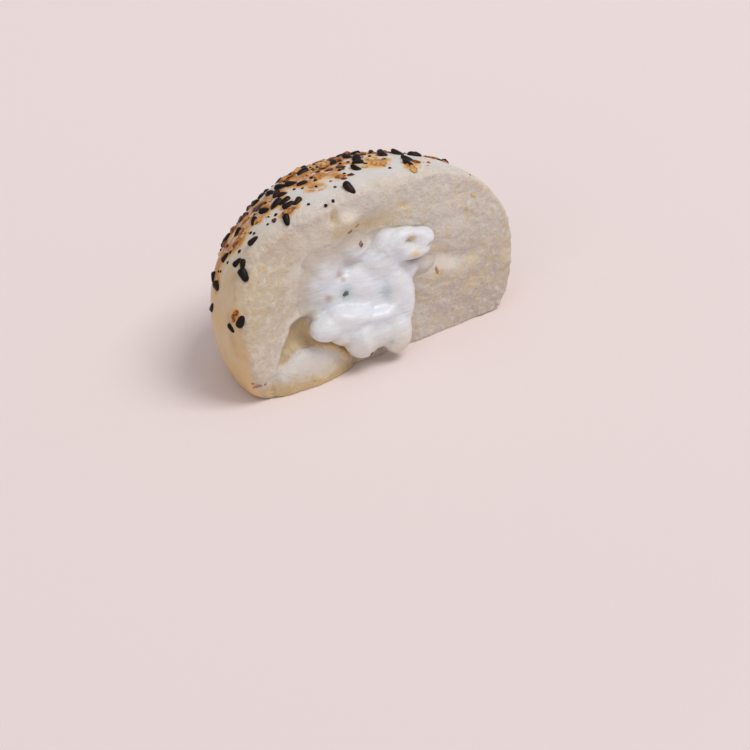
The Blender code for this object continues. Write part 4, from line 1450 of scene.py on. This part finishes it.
def crumb_colour(tree, place):
    x, _, z = put(tree, "SeparateXYZ", {0: put(tree, "TexCoord").outputs["Object"]}).outputs
    warm = times(tree, ranged(tree, x, *WARM_FROM), ranged(tree, z, *WARM_ABOVE))
    yellow = ranged(tree, z, *YELLOW_BELOW)
    return layered(
        tree, CRUMB_PALE,
        (warm, ranged(tree, z, *WARM_BELOW), CRUMB_WARM_AND_SHADED),
        (ranged(tree, x, *SHADE_RIGHT), ranged(tree, z, *SHADE_BELOW), CRUMB_SHADE),
        (patches(tree, place, *THREADS), 0.5, CRUMB_WHITE),
        (times(tree, patches(tree, place, *BLOTCHES), yellow), 0.4, CRUMB_YELLOW),
        (times(tree, patches(tree, place, *SPECKLES), yellow), 0.55, CRUMB_YELLOW),
        # Pulled white and painted light
        (mask(tree, "pulled"), 0.8, PULLED_AND_LIT_CREAM),
        (mask(tree, "white"), 1, ROLL_PALE),
        (mask(tree, "foot"), 0.95, FOOT_TAN),
        # Painted warm shade in hollows and slits
        (mask(tree, "hollow_shade_and_spots"), 1, mixed(tree, ranged(tree, x, *LEFT_OF_SLIT), HOLLOW_SHADE_TAN, HOLLOW_SHADE_LEFT)),
    )


print("blue of the crumb, white to tan:", [colour[2] for colour in (CRUMB_WHITE, CRUMB_PALE, FOOT_TAN)])

# %% [markdown]
# ## Steamed dough
# Light goes a few millimetres into steamed dough before it comes back, so the shader scatters it under
# the surface, red furthest. The crumb mask blends the two colours. The skin is satin and the crumb matt
# with a foam of fine pores, and a smear of cheese makes the crumb paler, smoother and wetter.

# %% Steamed dough
SMEAR_PALE = (0.64, 0.58, 0.53)
SEAM_SHADE_GOLD = (0.83, 0.61, 0.33)
DOUGH_SHINE = (0, 1, 0.42, 0.85)  # roughness of the skin and of the crumb
SMEAR_WET = -0.45
SMEAR_FLAT = (0, 1, 1.0, 0.25)
FOAM = (1.5, 0.72)  # grain, here and below: pitch and sharpness
PORES_PITCH = 1.3
PORES = (0, 0.5, 0, 0.55)
SATIN = (0.9, 0.5)
SATIN_HEIGHT = 0.22
DOUGH_BUMPS = (0.5 * MM, 0.5)  # bumps, here and below: height and strength


def steamed_dough():
    material, tree, shader = new_material(
        "steamed dough",
        Subsurface_Weight=0.35,
        Subsurface_Radius=(1.0, 0.55, 0.32),
        Subsurface_Scale=2.6 * MM,
        Specular_IOR_Level=0.12,
    )
    place = in_millimetres(tree)
    torn, film = mask(tree, "crumb"), mask(tree, "smear")
    colour = layered(
        tree, skin_colour(tree, place),
        (torn, 1, crumb_colour(tree, place)),
        (film, 0.8, SMEAR_PALE),
        # Painted golden shade where the cheese meets the rolled floor
        (mask(tree, "lip_seam_shade"), 0.9, SEAM_SHADE_GOLD),
    )
    dull = plus(tree, ranged(tree, torn, *DOUGH_SHINE), times(tree, film, SMEAR_WET))
    pores = put(tree, "TexVoronoi", {"Vector": place, "Scale": PORES_PITCH, "Randomness": 1.0}, feature="F1")
    pores = ranged(tree, pores.outputs["Distance"], *PORES)
    foam = plus(tree, grain(tree, place, *FOAM), pores)
    foam = times(tree, foam, times(tree, torn, ranged(tree, film, *SMEAR_FLAT)))
    satin = times(tree, grain(tree, place, *SATIN), SATIN_HEIGHT)
    relief = bumps(tree, plus(tree, foam, satin), *DOUGH_BUMPS)
    fill(tree, shader, Base_Color=colour, Roughness=dull, Normal=relief)
    return material


dough.data.materials.append(steamed_dough())
place_piece(dough, "bun")

# %% [markdown]
# ## Soft cheese
# The filling is wet and glossy, so it has a thin clear coat over a soft scattering body. It is cool white
# where it is thick, painted creamier towards its lower edges as warm shade, and takes on the crumb's tone
# where it thins out. Golden painted shade lies where it meets the rolled floor and under the tongue. A fine
# grain breaks up the highlights, because real whipped cheese is never as smooth as glass.

# %% Soft cheese
CHEESE_WHITE = (0.725, 0.75, 0.80)
CHEESE_CREAM = (0.70, 0.65, 0.57)
CHEESE_FILM = (0.545, 0.49, 0.44)
FILM_EDGE = (0.57, 0.50, 0.42)
GOLDEN_SHADE_AND_BITS = (0.66, 0.50, 0.28)
VEILS = {"bluish": (0.46, 0.54, 0.60), "pinkish": (0.50, 0.36, 0.34), "golden_shade_and_bits": GOLDEN_SHADE_AND_BITS}
VEIL = 0.8  # how much of a buried bit's colour comes through
# Painted warm shade: creamier towards the bottom
CREAMY_SHADE_HEIGHTS = (13 * MM, 3 * MM, 0, 0.75)
CLOUDS = (0.16, 0.35, 0.75)
CLOUDS_CREAMY = 0.25
CHEESE_SHINE = (0, 1, 0.3, 0.46)
THIN_DULL = 0.25
FLOW = {"Rotation": (0, 0.35, 0), "Scale": (0.35, 1, 1.5)}
WHIPPED = (0.75, 0.55)
CHEESE_BUMPS = (0.6 * MM, 0.6)


def soft_cheese():
    material, tree, shader = new_material(
        "soft cheese",
        Subsurface_Weight=0.6,
        Subsurface_Radius=(1.0, 0.7, 0.42),
        Subsurface_Scale=2.2 * MM,
        Coat_Weight=0.2,
        Coat_Roughness=0.2,
    )
    place = in_millimetres(tree)
    height = put(tree, "SeparateXYZ", {0: put(tree, "TexCoord").outputs["Object"]}).outputs[2]
    cloudy, thin = patches(tree, place, *CLOUDS), mask(tree, "thin")
    creamy_and_shaded = plus(tree, ranged(tree, height, *CREAMY_SHADE_HEIGHTS), times(tree, cloudy, CLOUDS_CREAMY))
    colour = layered(
        tree, mixed(tree, creamy_and_shaded, CHEESE_WHITE, CHEESE_CREAM),
        *((mask(tree, name), VEIL, tint) for name, tint in VEILS.items()),
        (thin, 1, CHEESE_FILM),
        (mask(tree, "soaked"), 1, FILM_EDGE),
        # Painted golden shade where the cheese meets the rolled floor
        (mask(tree, "lip_seam_shade"), 0.8, GOLDEN_SHADE_AND_BITS),
    )
    gloss = plus(tree, ranged(tree, cloudy, *CHEESE_SHINE), times(tree, thin, THIN_DULL))
    flow = put(tree, "Mapping", {"Vector": place, **FLOW}).outputs[0]
    relief = bumps(tree, grain(tree, flow, *WHIPPED), *CHEESE_BUMPS)
    fill(tree, shader, Base_Color=colour, Roughness=gloss, Normal=relief)
    return material


cream.data.materials.append(soft_cheese())
place_piece(cream, "filling")

# %% [markdown]
# ## Seeds, onion and herbs
# Black sesame is near black with a bluish sheen, and poppy is a dusty purple-black. Toasted onion runs
# from straw over amber to dark brown, so its colour is a ramp along the tone that each flake carries, and
# some light passes through. The herb flecks take the colour stored on their vertices.

# %% Seeds, onion and herbs
SESAME_BLACK = (0.007, 0.0035, 0.004)
SESAME_BROWN = (0.020, 0.007, 0.004)
POPPY_DARK = (0.012, 0.004, 0.006)
ONION_TONES = (
    (0.0, (0.72, 0.52, 0.27)),
    (0.22, (0.62, 0.33, 0.08)),
    (0.45, (0.42, 0.145, 0.022)),
    (0.7, (0.17, 0.042, 0.009)),
    (1.0, (0.04, 0.013, 0.006)),
)
SHARPNESS = 0.6
SEED_BUMPS = (0.12 * MM, 0.6)
ONION_GRAIN = 2.2
ONION_BUMPS = (0.2 * MM, 0.6)
FLECK_GRAIN = 3.0
FLECK_BUMPS = (0.15 * MM, 0.5)
SCORCHED = (0.9, 0.4, 0.7)
SCORCH_TONE = (0, 1, -0.15, 0.3)
FLECK_PATCHES = (2.0, 0.35, 0.7)
FLECK_DUST = (0.5, 0.4, 0.3)


def seed_finish(name, dark, light, roughness, pitch):
    material, tree, shader = new_material(name, Roughness=roughness, Specular_IOR_Level=0.16)
    colour = mixed(tree, mask(tree, "tone"), dark, light)
    relief = bumps(tree, grain(tree, in_millimetres(tree), pitch, SHARPNESS), *SEED_BUMPS)
    fill(tree, shader, Base_Color=colour, Normal=relief)
    return material


def onion_finish():
    material, tree, shader = new_material(
        "toasted onion",
        Subsurface_Weight=0.3,
        Subsurface_Radius=(1.0, 0.45, 0.15),
        Subsurface_Scale=0.8 * MM,
        Coat_Weight=0.12,
        Coat_Roughness=0.12,
        Roughness=0.42,
        Specular_IOR_Level=0.25,
    )
    place = in_millimetres(tree)
    ramp = tree.nodes.new("ShaderNodeValToRGB")
    steps = ramp.color_ramp.elements
    steps.remove(steps[1])
    steps[0].position, steps[0].color = 0, (*ONION_TONES[0][1], 1)
    for position, colour in ONION_TONES[1:]:
        steps.new(position).color = (*colour, 1)
    scorched = ranged(tree, patches(tree, place, *SCORCHED), *SCORCH_TONE)
    tree.links.new(plus(tree, mask(tree, "tone"), scorched), ramp.inputs[0])
    relief = bumps(tree, grain(tree, place, ONION_GRAIN, SHARPNESS), *ONION_BUMPS)
    fill(tree, shader, Base_Color=ramp.outputs[0], Normal=relief)
    return material


def fleck_finish():
    material, tree, shader = new_material("herbs and onion bits", Roughness=0.4, Coat_Weight=0.3)
    place = in_millimetres(tree)
    stored = put(tree, "Attribute", attribute_name="colour").outputs["Color"]
    colour = layered(tree, stored, (patches(tree, place, *FLECK_PATCHES), 0.3, FLECK_DUST))
    relief = bumps(tree, grain(tree, place, FLECK_GRAIN, SHARPNESS), *FLECK_BUMPS)
    fill(tree, shader, Base_Color=colour, Normal=relief)
    return material


onion = onion_finish()
for piece, finish in (
    (black_sesame, seed_finish("black sesame", SESAME_BLACK, SESAME_BROWN, 0.36, 3.0)),
    (poppy_piece, seed_finish("poppy seed", POPPY_DARK, SESAME_BROWN, 0.5, 6.0)),
    (flake_piece, onion),
    (granule_piece, onion),
):
    piece.data.materials.append(finish)
    place_piece(piece, "bun")
fleck_piece.data.materials.append(fleck_finish())
place_piece(fleck_piece, "filling")

# %% [markdown]
# ## Floor and light
# A pale rose-white floor sets off the bun; its colour is a painted light gradient, darker in front and
# lighter at the back. One large soft light above the right front shapes it, a weak one from the left opens
# the shadows, and an even sky does the rest. Colours are shown as they are, with the standard view,
# because a filmic one would grey the whites.

# %% Floor and light
# Painted light: the floor is darker in front and lighter at the back
FLOOR_SHADED_FRONT = (0.79, 0.69, 0.68)
FLOOR_LIT_BACK = (0.95, 0.83, 0.82)
FLOOR_TURNS = (-150.0, 350.0)  # millimetres
FLOOR_SIZE = 8.0  # metres
SKY = (0.95, 0.93, 0.95)
SKY_STRENGTH = 0.5


def make_floor():
    bm = bmesh.new()
    bmesh.ops.create_grid(bm, x_segments=1, y_segments=1, size=FLOOR_SIZE / 2)
    floor = new_object("floor", bm)
    material, tree, shader = new_material("pale floor", Roughness=0.9)
    behind = put(tree, "SeparateXYZ", {0: in_millimetres(tree)}).outputs[1]
    colour = mixed(tree, ranged(tree, behind, *FLOOR_TURNS), FLOOR_SHADED_FRONT, FLOOR_LIT_BACK)
    fill(tree, shader, Base_Color=colour)
    floor.data.materials.append(material)


def soft_light(name, place, power, size, colour):
    lamp = bpy.data.lights.new(name, "AREA")
    lamp.energy = power
    lamp.size = size
    lamp.color = colour
    obj = bpy.data.objects.new(name, lamp)
    obj.location = place
    middle = (bun_low + bun_high) / 2
    obj.rotation_euler = (middle - Vector(place)).to_track_quat("-Z", "Y").to_euler()
    bpy.context.scene.collection.objects.link(obj)


make_floor()
soft_light("key", place=(0.60, -0.85, 1.6), power=20.0, size=0.9, colour=(1.0, 0.985, 0.97))
soft_light("left", place=(-1.2, -0.9, 0.7), power=3.4, size=1.0, colour=(1.0, 0.97, 0.95))
world = bpy.data.worlds.new("even light")
bpy.context.scene.world = world
world.use_nodes = True
sky = world.node_tree.nodes["Background"].inputs
sky["Color"].default_value = (*SKY, 1)
sky["Strength"].default_value = SKY_STRENGTH
bpy.context.scene.view_settings.view_transform = "Standard"
print("lights:", [lamp.name for lamp in bpy.data.lights])

# %% [markdown]
# ## Camera
# The bun is seen from the left of the tear and a little from above, through a long lens, with the camera
# slightly rolled, because the half leaned over. The camera stands in that direction, and is then turned
# so that the bun's middle falls on its place in the picture, which needs no lens shift.

# %% Camera
VIEW_TURN = math.radians(-30)
VIEW_HEIGHT = math.radians(24.5)
VIEW_ROLL = math.radians(-6)
VIEW_DISTANCE = 480 * MM
FOCAL_PIXELS = 2017
PICTURE_PIXELS = 750
MIDDLE_IN_PICTURE = (342.8, 248.5)
VIEWED = Vector((0, AXIS_Y + 12 * MM, BUN_HEIGHT / 2))  # the middle of the half


def make_camera():
    flat = math.cos(VIEW_HEIGHT)
    back = Vector((math.sin(VIEW_TURN) * flat, -math.cos(VIEW_TURN) * flat, math.sin(VIEW_HEIGHT)))
    level = Vector((math.cos(VIEW_TURN), math.sin(VIEW_TURN), 0))
    upright = back.cross(level)
    side = level * math.cos(VIEW_ROLL) + upright * math.sin(VIEW_ROLL)
    top = upright * math.cos(VIEW_ROLL) - level * math.sin(VIEW_ROLL)
    across = MIDDLE_IN_PICTURE[0] - PICTURE_PIXELS / 2
    above = PICTURE_PIXELS / 2 - MIDDLE_IN_PICTURE[1]
    turned = (back * FOCAL_PIXELS + side * across + top * above).normalized()
    side = (side - turned * side.dot(turned)).normalized()
    data = bpy.data.cameras.new("camera")
    data.sensor_width = 36
    data.lens = FOCAL_PIXELS / PICTURE_PIXELS * data.sensor_width
    data.clip_start = 0.01
    data.clip_end = 50
    camera = bpy.data.objects.new("camera", data)
    camera.matrix_world = Matrix((side, turned.cross(side), turned)).transposed().to_4x4()
    camera.location = VIEWED + back * VIEW_DISTANCE
    bpy.context.scene.collection.objects.link(camera)
    bpy.context.scene.camera = camera
    print("lens, mm:", round(data.lens, 1))


make_camera()
